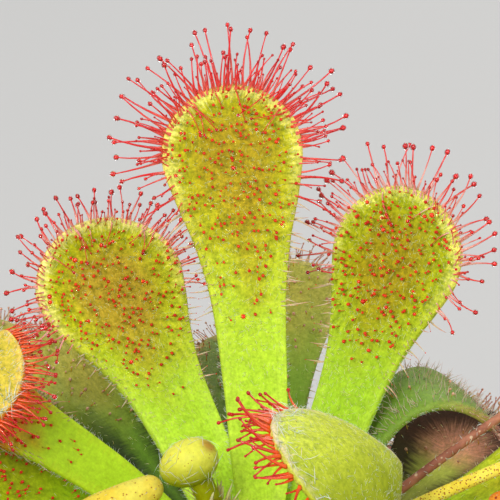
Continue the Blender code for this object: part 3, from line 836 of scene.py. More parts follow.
leaves = {
    "leaf_centre": leafOf(
        93.5, 64.5, 39.0, 12.3, 6.6, sway=16, cup=-0.04,
        **dict(mainLeaf, look="bright", under="under", strand="red", reach=4.8, rim=50, foot=0.175)
    ),
    "leaf_left": leafOf(
        120.4, 42, 33.1, 13.6, 5.2, sway=17, curl=10, twist=-15,
        **dict(mainLeaf, look="hollow", under="under", strand="mixed", reach=2.75, face=240, faceFrom=0.46)
    ),
    "leaf_right": leafOf(
        49.5, 53.5, 33.0, 13.0, 5.8, arch=11, cup=-0.05,
        **dict(
            mainLeaf, look="golden", under="under", strand="pale", reach=3.8, foot=0.165, face=230,
            faceFrom=0.46, leaning=3
        )
    ),
    "leaf_curled": leafOf(
        163.5, 42.5, 36.0, 9.4, 4.4, arch=-16, sway=24, twist=-50, roll=145, rollFrom=0.63, look="curled",
        under="curledUnder", strand="orange", reach=2.9, foot=0.125, comb=(1.5, -0.3, 0.0), wave=0.34,
        dew=0.2, curls=0, rim=54, rimRows=3, head=0.9, face=150, faceFrom=0.44, dot="dot", columns=16,
        rows=(40, 20), hairs=200, backHairs=1500, backLength=0.38, backRadius=0.020, tangles=130,
        tangleSpan=(-0.8, -0.1)
    ),
    "leaf_low_left": leafOf(
        173, 33, 29.5, 12.4, 2.4, twist=-20, cup=0.08, look="green", under="under", strand="orange",
        face=190, faceFrom=0.34, dot="dot", specks=20, dew=0.3
    ),
    "leaf_back_left": leafOf(130, 29, 30.0, 10.4, 2.8, cup=0.08, look="shaded", rim=52, foot=0.15),
    "leaf_far_left": leafOf(141, 28, 36.0, 10.5, 0.8, rim=48, foot=0.14, dew=0.4),
    # takes the arched leaf's darker look, as painted shade behind the centre leaf
    "leaf_back_small": leafOf(94, 17, 33.0, 8.4, 1.4, arch=-2, look="arched"),
    "leaf_back_right": leafOf(86, 28, 34.5, 9.4, 2.8, arch=-2, cup=0.08, rim=44, foot=0.13),
    "leaf_arched": leafOf(
        43.5, 53.2, 28.0, 9.2, 3.8, sway=-23, curl=-112, curlFrom=0.45, cup=-0.05, look="arched",
        rows=(26, 8), rim=90, reach=1.2, foot=0.055, head=0.26, face=8, curls=0, fuzz=470
    ),
    "leaf_brown": leafOf(
        43, 20.5, 26.3, 12.4, 1.2, cup=0.2, look="brown", rim=66, foot=0.15, face=16, faceFrom=0.6
    ),
    "leaf_low_right": leafOf(
        8, 29, 32.0, 11.0, 3.4, twist=10, cup=0.06, look="bright", under="under", strand="pale", dot="dot",
        reach=2.0, dew=0.3
    ),
    "leaf_folded": leafOf(
        -56.5, 30, 30.5, 14.4, 6.4, curl=154, curlFrom=0.3, twist=25, cup=0.2, look="golden",
        under="folded", strand="orange", reach=3.7, foot=0.25, wave=0.42, head=1.0, dew=0.1, rim=26,
        rimRows=2, rimSpan=(0.02, 1), face=60, faceFrom=0.6, dot="dot", columns=22, rows=(38, 16), hairs=60,
        backHairs=1500, backLength=0.36, backRadius=0.010, tangles=130, tangleSpan=(0.12, 0.95)
    ),
    "leaf_front_right": leafOf(-24, 17, 34.0, 11.0, 1.8, arch=-6, **frontLeaf),
    "leaf_front_low_right": leafOf(-60, 15, 35.0, 11.0, 2.6, arch=-10, **dict(frontLeaf, look="golden")),
    "leaf_front": leafOf(-94, 17, 33.0, 10.5, 1.8, arch=-8, **dict(frontLeaf, look="hollow")),
    "leaf_front_low_left": leafOf(-125, 15, 35.0, 11.0, 2.8, arch=-10, **frontLeaf),
    "leaf_front_left": leafOf(
        -153, 14, 34.0, 10.5, 1.4, arch=-4, **dict(frontLeaf, look="golden", strand="mixed")
    ),
}


def modelLeaf(leaf):
    # a grid bent to the leaf's surface, given its thickness and rounded all over
    shape = LeafShape(leaf)
    columns, (stalkRows, tipRows) = leaf["columns"], leaf["rows"]
    rows = stalkRows + tipRows
    deselectAll()
    bpy.ops.mesh.primitive_grid_add(x_subdivisions=columns, y_subdivisions=rows, size=2)
    sheet = bpy.context.object
    mesh = sheet.data
    points = readAll(mesh.vertices, "co", 3)
    across, row = points[:, 0], (points[:, 1] + 1) / 2 * rows
    share = np.clip(row / stalkRows, 0, 1) ** 0.85
    blend = np.clip((row - stalkRows) / tipRows, 0, 1)
    angle = across * math.radians(leafForm["tipArc"])
    onStalk = row <= stalkRows
    onTip = shape.half * ((1 - blend) * across + blend * np.sin(angle))
    sideways = np.where(onStalk, across * shape.half * outlineShare(share), onTip)
    onTip = shape.straight + blend * shape.tip * np.cos(angle)
    distance = np.where(onStalk, share * shape.straight, onTip)
    mesh.vertices.foreach_set("co", shape.place(sideways, distance)[0].ravel())

    # what the leaf's skin reads
    inward = np.maximum(shape.inward(sideways, distance), 0)
    markPoints(
        mesh, "leafPlace", np.stack([sideways, distance, inward], axis=-1) / mm, "FLOAT_VECTOR", "vector"
    )
    markPoints(mesh, "leafAlong", distance / shape.length)
    roundTip = np.arctan2(sideways, np.maximum(distance - shape.straight, 1e-9)) * shape.half
    downSide = np.sign(sideways) * (shape.straight - distance + shape.half * math.pi / 2)
    markPoints(mesh, "rimPlace", np.where(distance > shape.straight, roundTip, downSide) / mm)
    for each in (leaf["look"], leaf["under"]):
        mesh.materials.append(leafMaterials[each])

    thick = sheet.modifiers.new("thickness", "SOLIDIFY")
    thick.thickness = 0.96 * leafForm["thickness"]
    thick.offset = 0.0
    thick.material_offset = 1
    soft = sheet.modifiers.new("rounding", "SUBSURF")
    soft.levels = soft.render_levels = 1
    applyAll(sheet)
    mesh.shade_smooth()
    return sheet, shape


def randomUnit(draw, count):
    return unit(draw.normal(size=(count, 3)))


def edgeAt(shape, turn):
    # place, outward, face and edge directions on the blade's margin
    ahead = shape.place(*shape.margin(np.minimum(turn + 0.01, 1)))[0]
    behind = shape.place(*shape.margin(np.maximum(turn - 0.01, -1)))[0]
    here, _, face, _ = shape.place(*shape.margin(turn))
    edge = unit(ahead - behind)
    return here, unit(np.cross(face, edge)), face, edge


rimLook = {
    # one value for each row, from the outermost inwards
    "crowd": (1.0, 1.55, 1.8),
    "share": (1.0, 0.66, 0.44),  # of the full length
    "thick": (1.0, 0.84, 0.70),
    "gland": (1.0, 0.76, 0.58),
    "wet": (1.0, 0.6, 0.15),
    "low": (-8, 6, 20),  # degrees above the blade
    "high": (14, 30, 52),
    "inset": (0.05, 0.27, 0.49),  # mm in from the edge
    "lift": (0.06, 0.22, 0.38),  # mm up from the leaf's middle surface
}


def rimStrands(shape, leaf, draw):
    # rows of tentacles round the blade; the outer row is the longest, and inner rows stand up from the face
    rowsOfStrands = []
    first, last = leaf["rimSpan"]
    for row in range(leaf["rimRows"]):
        look = {key: value[row] for key, value in rimLook.items()}
        count = int(leaf["rim"] * look["crowd"])
        spaced = np.arange(count) + 0.5 + draw.uniform(-0.35, 0.35, count) + 0.33 * row
        turn = np.clip(first + (last - first) * spaced / count, -0.995, 0.995)
        here, outward, face, edge = edgeAt(shape, turn)
        root = here - outward * (look["inset"] * mm) + face * look["lift"] * mm
        lift = np.radians(draw.uniform(look["low"], look["high"], count))[:, None]
        lean = np.radians(draw.uniform(-15, 15, count))[:, None]
        way = outward * (np.cos(lift) * np.cos(lean)) + face * np.sin(lift) + edge * np.sin(lean)
        way = unit(unit(way) + np.array(leaf["comb"]))
        # tentacles grow shorter down the sides of the blade, and thin beside the stalk
        thin = smoothStep((np.abs(turn) - 0.66) / 0.16)
        fall = (1 - 0.34 * smoothStep((np.abs(turn) - 0.42) / 0.58)) * (1 - 0.35 * thin)
        length = leaf["reach"] * mm * fall * look["share"] * draw.uniform(0.76, 1.06, count)
        sag = draw.uniform(-1, 1.2, count) * leaf["wave"] + leaf["pull"]
        bend = (face * sag[:, None] + edge * draw.uniform(-1, 1, (count, 1)) * leaf["wave"]) * length[:, None]
        rowsOfStrands.append(strandsFrom(
            draw, root, way, length, bend=bend, side=edge, thin=thin, wet=look["wet"],
            radius=leaf["foot"] * mm * look["thick"] * draw.uniform(0.85, 1.15, count) * (1 - 0.5 * thin),
            size=look["gland"] * draw.uniform(0.78, 1.1, count) * (1 - 0.5 * thin),
        ))
    return joinStrands(rowsOfStrands)


def leaningStrands(shape, leaf, draw):
    # a few slender tentacles that have bent in over the face from the top of the margin
    count = leaf["leaning"]
    here, outward, face, edge = edgeAt(shape, draw.uniform(-0.34, 0.5, count))
    way = unit(face * 0.8 - outward * 0.5 + edge * draw.uniform(-0.3, 0.3, (count, 1)))
    length = draw.uniform(1.5, 3.3, count) * mm
    bend = (-face * 0.62 - outward * 0.45 + edge * draw.uniform(-0.35, 0.35, (count, 1))) * length[:, None]
    root = here - outward * 0.3 * mm + face * 0.2 * mm
    size = draw.uniform(0.5, 0.7, count)
    return strandsFrom(draw, root, way, length, 0.10 * mm, bend, edge, size=size, wet=0.5)


faceLook = {
    "radius": 0.055,  # mm
    "length": (0.28, 0.62),  # mm
    "longer": (0.1, 0.9),  # mm more towards the edge
    "size": (0.62, 1.2),
    "apart": 0.3,  # mm
    "lift": 0.36,  # mm up from the leaf's middle surface
}


def faceStrands(shape, leaf, draw):
    # short tentacles over the blade's face, thinning out down the stalk and kept apart from each other
    wanted = leaf["face"]
    look = faceLook
    kept = []
    start = leaf["faceFrom"] * shape.length
    for _ in range(wanted * 40):
        if len(kept) >= wanted:
            break
        sideways = draw.uniform(-1, 1) * shape.half
        distance = draw.uniform(start, shape.length)
        inside = float(shape.inward(np.array(sideways), np.array(distance)))
        share = (distance - start) / (shape.length - start)
        if inside < (0.35 + 0.9 * (1 - share)) * mm or draw.uniform() > smoothStep(share * 1.7) + 0.06:
            continue
        if any((sideways - s) ** 2 + (distance - d) ** 2 < (look["apart"] * mm) ** 2 for s, d in kept):
            continue
        kept.append((sideways, distance))
    sideways, distance = np.array(kept).reshape(-1, 2).T
    count = len(kept)
    here, along, face, side = shape.place(sideways, distance, look["lift"] * mm)
    spread = (
        side * (sideways / shape.half)[:, None]
        + along * ((distance - shape.straight) / shape.half)[:, None]
    )
    way = unit(face + spread * draw.uniform(0.1, 0.6, (count, 1)) + randomUnit(draw, count) * 0.18)
    nearRim = 1 - smoothStep(shape.inward(sideways, distance) / (2.2 * mm))
    length = (draw.uniform(*look["length"], count) + nearRim * draw.uniform(*look["longer"], count)) * mm
    bend = randomUnit(draw, count) * length[:, None] * 0.15
    size = draw.uniform(*look["size"], count)
    return strandsFrom(draw, here, way, length, look["radius"] * mm, bend, side, size=size)


hairLook = {
    # lengths and foot radii in mm, from the least to the most
    "sheenCurlLength": (0.2, 0.62),
    "sheenCurlRadius": (0.016, 0.03),
    "fuzzLength": (0.5, 1.25),
    "fuzzRadius": (0.024, 0.036),
    "edgeLength": (0.18, 0.55),
    "edgeRadius": (0.014, 0.022),
    "backLength": (0.6, 1.6),  # times the leaf's own backLength
    "backRadius": (0.8, 1.25),  # times the leaf's own backRadius
    "tangleLength": (0.6, 1.6),
    "tangleRadius": (0.028, 0.048),
    "tangleBand": 1.8,  # mm in from the margin
    "lift": 0.4,  # mm from the leaf's middle surface to its skin
}


def hairSize(draw, key, count):
    return draw.uniform(*hairLook[key], count)


def faceSheenCurls(shape, leaf, draw):
    # fine pale curls that lie on the blade's face, a painted sheen standing in for the glints of its wet
    # cells
    count = leaf["curls"]
    start = leaf["faceFrom"] - 0.1
    distance = (start + (1 - start) * draw.uniform(0, 1, count) ** 0.75) * shape.length
    sideways = draw.uniform(-0.96, 0.96, count) * shape.reachAt(distance)
    here, along, face, side = shape.place(sideways, distance, hairLook["lift"] * mm)
    turn = draw.uniform(0, 2 * math.pi, (count, 1))
    way = unit(along * np.cos(turn) + side * np.sin(turn) + face * 0.22)
    length = hairSize(draw, "sheenCurlLength", count) * mm
    curl = (side * np.cos(turn) - along * np.sin(turn)) * draw.uniform(-0.6, 0.6, (count, 1))
    bend = (curl - face * 0.2) * length[:, None]
    return strandsFrom(draw, here, way, length, hairSize(draw, "sheenCurlRadius", count) * mm, bend, side)


def faceFuzz(shape, leaf, draw):
    # soft hairs that stand up from the face
    count = leaf["fuzz"]
    distance = draw.uniform(0.3, 1.0, count) * shape.length
    sideways = draw.uniform(-0.97, 0.97, count) * shape.reachAt(distance)
    here, along, face, side = shape.place(sideways, distance, hairLook["lift"] * mm)
    way = unit(
        face + along * draw.uniform(-0.5, 0.5, (count, 1)) + side * draw.uniform(-0.5, 0.5, (count, 1))
    )
    length = hairSize(draw, "fuzzLength", count) * mm
    bend = randomUnit(draw, count) * 0.22 * length[:, None]
    return strandsFrom(draw, here, way, length, hairSize(draw, "fuzzRadius", count) * mm, bend, side)


def edgeHairs(shape, leaf, draw):
    # fine pale hairs along the stalk's two edges
    count = leaf["hairs"]
    distance = draw.uniform(0.12, 0.8, count) ** 0.9 * shape.straight
    sign = np.where(draw.uniform(size=count) < 0.5, -1.0, 1.0)
    here, along, face, side = shape.place(sign * (shape.widthAt(distance) - 0.05 * mm), distance)
    outward = side * sign[:, None]
    way = outward + along * draw.uniform(-0.1, 0.9, (count, 1)) + face * draw.uniform(-0.7, 0.5, (count, 1))
    length = hairSize(draw, "edgeLength", count) * mm
    bend = along * draw.uniform(-0.3, 0.5, (count, 1)) + face * draw.uniform(-0.4, 0.4, (count, 1))
    radius = hairSize(draw, "edgeRadius", count) * mm
    return strandsFrom(draw, here, unit(way), length, radius, bend * length[:, None], along)


def backHairs(shape, leaf, draw):
    # fine hairs that lie on the leaf's back, a little thicker towards its edges
    count = leaf["backHairs"]
    distance = draw.uniform(0.36, 1.0, count) * shape.length
    sideways = draw.uniform(-1, 1, count)
    sideways = np.sign(sideways) * np.abs(sideways) ** 0.8
    place = shape.place(sideways * shape.reachAt(distance) * 0.985, distance, -hairLook["lift"] * mm)
    here, along, face, side = place
    way = side * (0.5 * sideways + draw.uniform(-0.9, 0.9, count))[:, None]
    way = way + along * draw.uniform(-0.2, 1.1, (count, 1)) - face * draw.uniform(0.12, 0.34, (count, 1))
    length = leaf["backLength"] * hairSize(draw, "backLength", count) * mm
    bend = (randomUnit(draw, count) * 0.3 + face * 0.2) * length[:, None]
    radius = hairSize(draw, "backRadius", count) * leaf["backRadius"] * mm
    return strandsFrom(draw, here, unit(way), length, radius, bend, side)


def tangledHairs(shape, leaf, draw):
    # longer, thicker white hairs that tangle on the back beside the margin
    count = leaf["tangles"]
    turn = draw.uniform(*leaf["tangleSpan"], count)
    outward, face, edge = edgeAt(shape, turn)[1:]
    sideways, distance = shape.margin(turn)
    inward = 1 - draw.uniform(0.02, 1.0, count) ** 1.5 * hairLook["tangleBand"] * mm / shape.half
    distance = distance - np.maximum(distance - shape.straight, 0) * (1 - inward)
    root = shape.place(sideways * inward, distance, -0.41 * mm)[0]
    way = outward * draw.uniform(-0.5, 0.7, (count, 1)) + edge * draw.uniform(-1, 1, (count, 1))
    way = unit(way - face * draw.uniform(0.15, 0.5, (count, 1)))
    length = hairSize(draw, "tangleLength", count) * mm
    bend = (randomUnit(draw, count) * 0.5 + face * 0.25) * length[:, None]
    return strandsFrom(draw, root, way, length, hairSize(draw, "tangleRadius", count) * mm, bend, edge)


def clearStrands(strands, trees, radius):
    # keeps the strands that don't run into another leaf or stem
    keep = np.ones(len(strands["length"]), dtype=bool)
    for i in range(len(keep)):
        one = selectStrands(strands, slice(i, i + 1))
        before = Vector(pointOnStrand(one, np.array([0.08]))[0])
        for share in (0.4, 0.7, 1.0):
            after = Vector(pointOnStrand(one, np.array([share]))[0])
            step = after - before
            if any(
                tree.ray_cast(before, step.normalized(), step.length + radius)[0] is not None
                for tree in trees
            ):
                keep[i] = False
                break
            before = after
    return selectStrands(strands, keep)


dewLook = {
    # radii in metres
    "gland": 0.165 * mm,
    "faceGland": 0.138 * mm,
    "drop": 0.265 * mm,
    "bead": 0.055 * mm,
    "speck": 0.05 * mm,
    # how many
    "beads": 2,  # rounds of beads along the tentacles
    "faceDrops": 0.05,  # share of the face's glands that carry a drop
    "trail": 4,  # specks in a trail
}


def makeTentacles(name, leaf, shape, others, draw):
    # the tentacles with their glands; the rim's bold ones and the face's are given back
    rim = joinStrands([rimStrands(shape, leaf, draw), leaningStrands(shape, leaf, draw)])
    rim = clearStrands(rim, others, dewLook["drop"])
    inner = clearStrands(faceStrands(shape, leaf, draw), others, dewLook["faceGland"])
    rim["size"] = rim["size"] * leaf["head"]
    bold = selectStrands(rim, rim["thin"] < 0.5)
    fine = selectStrands(rim, rim["thin"] >= 0.5)
    tipped = selectStrands(fine, draw.uniform(size=len(fine["thin"])) < 0.45)
    gland, faceGland = dewLook["gland"], dewLook["faceGland"]
    parts = [
        rodPart(bold, strandShape, 0, 0.75),
        rodPart(fine, hairShape, 3),
        rodPart(inner, hairShape, 1),
        ballPart(bold, glandShape, gland * bold["size"], 2, 0.4),
        ballPart(tipped, smallGlandShape, 0.7 * gland * tipped["size"], 4, 0.4, 0.3),
        ballPart(inner, smallGlandShape, faceGland * inner["size"], 4, 0.2, 0.4),
    ]
    looks = [
        leaf["strand"], "short", "gland" if leaf["dot"] == "dot" else "dullDot", leaf["fine"], leaf["dot"]
    ]
    piece = meshFrom(name + "_tentacles", parts, [strandMaterials[each] for each in looks])
    addPiece(piece, name + "_tentacles", [])
    return bold, inner


def makeDew(name, leaf, bold, inner, draw):
    # clear drops on the glands, beads along the tentacles and specks on the face
    drop = dewLook["drop"]
    wet = selectStrands(bold, draw.uniform(size=len(bold["thin"])) < leaf["dew"] * bold["wet"])
    drops = [ballPart(wet, dropShape, drop * wet["size"], along=0.22)]
    for _ in range(dewLook["beads"]):
        some = selectStrands(bold, draw.uniform(size=len(bold["thin"])) < 0.5 * leaf["dew"])
        share = draw.uniform(0.15, 0.85, len(some["thin"]))
        centre = pointOnStrand(some, share) + randomUnit(draw, len(share)) * 0.07 * mm
        drops.append(beadPart(centre, dewLook["bead"] * draw.uniform(0.7, 1.5, len(share)), some["tone"]))
    few = selectStrands(inner, draw.uniform(size=len(inner["thin"])) < dewLook["faceDrops"] * leaf["dew"])
    drops.append(ballPart(few, dropShape, drop * draw.uniform(0.6, 1.1, len(few["thin"])), along=0.2))
    if leaf["specks"]:
        # in short trails beside some of the glands
        trail = dewLook["trail"]
        near = draw.integers(0, len(inner["thin"]), leaf["specks"] // trail).repeat(trail)
        root, way, side = (inner[key][near] for key in ("root", "way", "side"))
        centre = (
            root
            + (
                randomUnit(draw, len(near)) * 0.35 + unit(side) * draw.uniform(-0.5, 0.5, (len(near), 1))
            ) * mm
        )
        centre = centre - way * np.sum((centre - root) * way, axis=-1, keepdims=True) + way * 0.12 * mm
        size = dewLook["speck"] * draw.uniform(0.6, 1.8, len(near))
        drops.append(beadPart(centre, size, inner["tone"][near]))
    dew = addPiece(meshFrom(name + "_dew", drops, [dewClear]), name + "_dew", [])
    dew.visible_shadow = False  # light reaches the glands inside the drops


def makeHairs(name, leaf, shape, others, draw):
    hairs = [edgeHairs(shape, leaf, draw)]
    if leaf["backHairs"]:
        hairs.append(backHairs(shape, leaf, draw))
    if leaf["tangles"]:
        hairs.append(tangledHairs(shape, leaf, draw))
    curls = clearStrands(faceSheenCurls(shape, leaf, draw), others, 0)
    fuzz = clearStrands(faceFuzz(shape, leaf, draw), others, 0)
    parts = [rodPart(each, hairShape, i) for i, each in enumerate((joinStrands(hairs), curls, fuzz))]
    coat = meshFrom(name + "_hairs", parts, [strandMaterials[each] for each in ("white", "curl", "fuzz")])
    addPiece(coat, name + "_hairs", [])


def dressLeaf(name, leaf, shape, others, draw):
    bold, inner = makeTentacles(name, leaf, shape, others, draw)
    makeDew(name, leaf, bold, inner, draw)
    makeHairs(name, leaf, shape, others, draw)


def treeOf(piece):
    mesh = piece.data
    return BVHTree.FromPolygons([v.co[:] for v in mesh.vertices], [p.vertices[:] for p in mesh.polygons])


def makeLeaves():
    made = {}
    for name, leaf in leaves.items():
        sheet, shape = modelLeaf(leaf)
        addPiece(sheet, name + "_blade", [], [name])
        made[name] = (sheet, shape)
    print("leaf blades made:", len(made))
    trees = {name: treeOf(sheet) for name, (sheet, _) in made.items()}
    stems = [treeOf(frame["nodes"][name]) for name in ("leaf_bud", "young_scape", "new_scape", "old_scape")]
    draw = np.random.default_rng(11)
    for name, (_, shape) in made.items():
        others = [tree for other, tree in trees.items() if other != name] + stems
        dressLeaf(name, leaves[name], shape, others, draw)
    print("tentacles, dew and hairs made")


makeLeaves()


# stems and the leaf bud, on the same lines as in the solids

stemLooks = {
    "leaf_bud": dict(
        slot="leaf", skin="bud", budSkin="bud", shreds=60, hairs=190, hairLength=1.1, hairRadius=0.027,
        hairLying=0.8,
        path=(
            (-1.9, -1.4, 7.6, 0.7), (-3.2, -1.5, 10.4, 0.9), (-4.4, -1.2, 12.8, 1.0),
            (-5.4, -1.0, 15.2, 1.0)
        ),
        bud=((-6.25, -0.9, 16.5), 2.55, 1.95, (0.9, 0.0, 0.45)),
    ),
    "young_scape": dict(
        slot="scape", skin="young", shreds=0, hairs=160, hairLength=0.25, hairRadius=0.026, hairLying=0.6,
        path=(
            (-2.9, -2.0, 6.2, 0.8), (-6.5, -4.8, 7.6, 1.0), (-11.0, -6.9, 9.6, 1.2), (-14.6, -7.2, 11.4, 1.3),
            (-15.8, -6.9, 13.6, 1.35), (-13.6, -6.4, 15.0, 1.4), (-11.0, -5.8, 15.9, 1.4),
            (-9.4, -5.4, 16.5, 1.2),
        ),
        bud=None,
    ),
    "new_scape": dict(
        slot="scape", skin="speckled", budSkin="newBud", shreds=0, hairs=260, hairLength=0.25,
        hairRadius=0.026, hairLying=0.6,
        path=(
            (2.4, 0.0, 6.9, 0.6), (5.4, -0.3, 8.7, 0.55), (9.0, -0.7, 10.7, 0.55), (12.5, -1.2, 12.8, 0.55),
            (16.0, -1.7, 14.9, 0.55), (19.6, -2.2, 16.9, 0.55), (23.0, -2.7, 18.2, 0.55),
            (26.0, -3.2, 18.4, 0.55),
            (28.2, -3.6, 17.2, 0.55), (28.2, -3.8, 15.0, 0.55), (26.2, -4.0, 13.8, 0.6),
            (23.4, -4.1, 13.6, 0.65),
        ),
        bud=((20.7, -4.1, 14.2), 2.7, 1.25, (-1.0, 0.0, 0.25)),
    ),
    "old_scape": dict(
        slot="old_scape", skin="dry", shreds=0, hairs=240, hairLength=0.45, hairRadius=0.026, hairLying=0.6,
        path=(
            (2.9, 0.25, 4.75, 0.42), (6.5, 1.2, 7.8, 0.42), (10.8, 3.0, 11.4, 0.4), (15.2, 3.8, 14.8, 0.38),
            (19.6, 4.5, 18.0, 0.36), (24.5, 5.4, 20.8, 0.34), (30.0, 6.3, 23.0, 0.32), (36.0, 7.0, 24.0, 0.3),
        ),
        bud=None,
    ),
}


def stemLine(path, steps=8):
    # (place, radius) along a smooth line through the stem's points, with a rounded end
    points = [Vector((x, y, z)) * mm + Vector((0, 0, crownFoot)) for x, y, z, _ in path]
    line = []
    for i in range(len(points) - 1):
        before, start, end, after = (
            points[max(i - 1, 0)], points[i], points[i + 1], points[min(i + 2, len(points) - 1)]
        )
        for k in range(steps):
            t = k / steps
            square = (2 * before - 5 * start + 4 * end - after) * t**2
            cube = (3 * start - before - 3 * end + after) * t**3
            place = 0.5 * (2 * start + (end - before) * t + square + cube)
            line.append((place, (path[i][3] * (1 - t) + path[i + 1][3] * t) * mm))
    onward = (points[-1] - line[-1][0]).normalized()
    radius = path[-1][3] * mm
    for degrees in (0, 20, 40, 58, 73, 85):
        turn = math.radians(degrees)
        line.append((points[-1] + onward * radius * math.sin(turn), radius * math.cos(turn)))
    return line


def modelStem(line):
    # a round stem from a bevelled curve, made a mesh
    curve = bpy.data.curves.new("stem", "CURVE")
    curve.dimensions = "3D"
    curve.bevel_depth = 1.0
    curve.bevel_resolution = 5
    curve.use_fill_caps = True
    spline = curve.splines.new("POLY")
    spline.points.add(len(line) - 1)
    for point, (place, radius) in zip(spline.points, line):
        point.co = (*place, 1)
        point.radius = radius
    pick(newObject("stem", curve))
    bpy.ops.object.convert(target="MESH")
    stem = bpy.context.object
    bpy.ops.object.mode_set(mode="EDIT")
    bpy.ops.mesh.select_all(action="SELECT")
    bpy.ops.mesh.remove_doubles(threshold=0.01 * mm)
    bpy.ops.object.mode_set(mode="OBJECT")
    return stem


def modelEgg(bud):
    # an egg-shaped bud with a shallow fold along it
    (x, y, z), halfLength, halfWidth, direction = bud
    deselectAll()
    bpy.ops.mesh.primitive_uv_sphere_add(segments=32, ring_count=24, radius=1)
    egg = bpy.context.object
    for vertex in egg.data.vertices:
        around = math.atan2(vertex.co.y, vertex.co.x)
        fold = math.exp(-((math.sin(around / 2) / 0.16) ** 2))
        vertex.co.xy *= (1 - 0.06 * fold) * (1 + 0.05 * vertex.co.z)
    egg.scale = (halfWidth * mm, halfWidth * mm, halfLength * mm)
    egg.rotation_euler = Vector(direction).to_track_quat("Z", "Y").to_euler()
    egg.location = Vector((x, y, z)) * mm + Vector((0, 0, crownFoot))
    applyAll(egg)
    return egg


def skinHairs(piece, stemFaces, count, length, draw, radius, lying):
    # short pale hairs scattered over a piece's surface, by face area
    faces = piece.data.polygons
    place = readAll(faces, "center", 3)
    # a bud's faces follow the stem's, in another order each run, so they are taken in order of place
    onBud = np.arange(len(place)) >= stemFaces
    order = np.lexsort([*(np.round(place / (0.001 * mm)) * onBud[:, None]).T, onBud])
    area = readAll(faces, "area")[order]
    chosen = order[draw.choice(len(area), count, p=area / area.sum())]
    root = place[chosen]
    out = readAll(faces, "normal", 3)[chosen]
    along = unit(np.cross(out, randomUnit(draw, count)))
    way = unit(out * (1 - lying) + along * lying)
    size = draw.uniform(0.5, 1.2, count) * length * mm
    foot = draw.uniform(0.8, 1.2, count) * radius * mm
    bend = (along * 0.3 - out * 0.25) * size[:, None]
    return strandsFrom(draw, root, way, size, foot, bend, np.cross(out, along))


def skinMaterial(
    name, main, low, speck, speckScale, speckSize, roughness=0.45, subsurface=0.25, streak=0.0, span=None,
    patch=None
):
    # a stem's or bud's skin: two tones in blotches or over a span of heights, round specks and fine grain
    made, tree, shader = newMaterial(name)
    spot = objectPlace(tree)
    blotch = noiseNode(tree, spot, 330, 3.0)
    tone = rangeNode(tree, blotch, 0.35, 0.68)
    if span:
        split = addNode(tree, "ShaderNodeSeparateXYZ")
        link(tree, spot, split.inputs[0])
        raised = shifted(tree, split.outputs["Z"], blotch, 2 * mm)
        tone = rangeNode(tree, raised, crownFoot + span[1] * mm, crownFoot + span[0] * mm)
    colour = mixColour(tree, tone, main, low)
    if patch:
        (x, y, z), reach, patchColour = patch
        away = addNode(tree, "ShaderNodeVectorMath", operation="DISTANCE")
        away.inputs[1].default_value = (x * mm, y * mm, z * mm + crownFoot)
        link(tree, spot, away.inputs[0])
        swung = mathNode(tree, "SUBTRACT", blotch, 0.5)
        ragged = mathNode(tree, "MULTIPLY_ADD", swung, 1.5 * mm, away.outputs["Value"])
        colour = mixColour(tree, rangeNode(tree, ragged, reach * mm, 0.3 * reach * mm), colour, patchColour)
    cells = addNode(tree, "ShaderNodeTexVoronoi")
    setInputs(cells, {"Scale": speckScale})
    link(tree, spot, cells.inputs["Vector"])
    colour = mixColour(
        tree, rangeNode(tree, cells.outputs["Distance"], speckSize, speckSize * 0.55), colour, speck
    )
    grain = noiseNode(tree, spot, 2600, 3.0)
    shade = mathNode(tree, "MULTIPLY_ADD", mathNode(tree, "SUBTRACT", grain, 0.5), 0.5 + streak, 1.0)
    tint = addNode(tree, "ShaderNodeCombineColor")
    for channel in ("Red", "Green", "Blue"):
        link(tree, shade, tint.inputs[channel])
    link(tree, mixColour(tree, 1.0, colour, tint.outputs[0], "MULTIPLY"), shader.inputs["Base Color"])
    link(
        tree, rangeNode(tree, grain, 0.3, 0.7, roughness - 0.07, roughness + 0.09),
        shader.inputs["Roughness"]
    )
    addRelief(tree, shader, grain, 0.45, 0.08 * mm)
    setInputs(shader, {
        "Subsurface Weight": subsurface,
        "Subsurface Radius": (1.0, 0.8, 0.15),
        "Subsurface Scale": 0.0006,
        "Specular IOR Level": 0.14,
    })
    return made


stemSkins = {
    # bright yellow on top and the stalk's darker green below 15 mm: the stalk's own colour, carried up over
    # the bud's lower side as painted shade
    "bud": skinMaterial(
        "bud_skin", (0.86, 0.85, 0.10), (0.33, 0.36, 0.001), (0.46, 0.24, 0.02), 2200, 0.14,
        span=(15.0, 18.1), patch=((-4.3, -1.3, 18.6), 1.25, (0.60, 0.34, 0.05))
    ),
    "young": skinMaterial(
        "young_scape_skin", (0.84, 0.74, 0.10), (0.82, 0.60, 0.045), (0.44, 0.18, 0.02), 3000, 0.26
    ),
    "speckled": skinMaterial(
        "new_scape_skin", (0.90, 0.78, 0.10), (0.86, 0.66, 0.05), (0.40, 0.12, 0.02), 4400, 0.39
    ),
    "newBud": skinMaterial(
        "new_bud_skin", (0.78, 0.20, 0.02), (0.70, 0.34, 0.03), (0.34, 0.04, 0.01), 2000, 0.3
    ),
    "dry": skinMaterial(
        "old_scape_skin", (0.46, 0.19, 0.11), (0.26, 0.09, 0.055), (0.62, 0.44, 0.28), 1500, 0.26, 0.6,
        0.05, 0.4
    ),
}


papery = strandMaterial("stipule_paper", (0.62, 0.50, 0.10), (0.74, 0.66, 0.28), 0.5, 0.5, 0.3)


def aroundAxis(turn):
    # outward and sideways directions at each turn about an upright line
    level = np.zeros(len(turn))
    outward = np.stack([np.cos(turn), np.sin(turn), level], axis=-1)
    return outward, np.stack([-np.sin(turn), np.cos(turn), level], axis=-1)


upward = np.array([0, 0, 1.0])


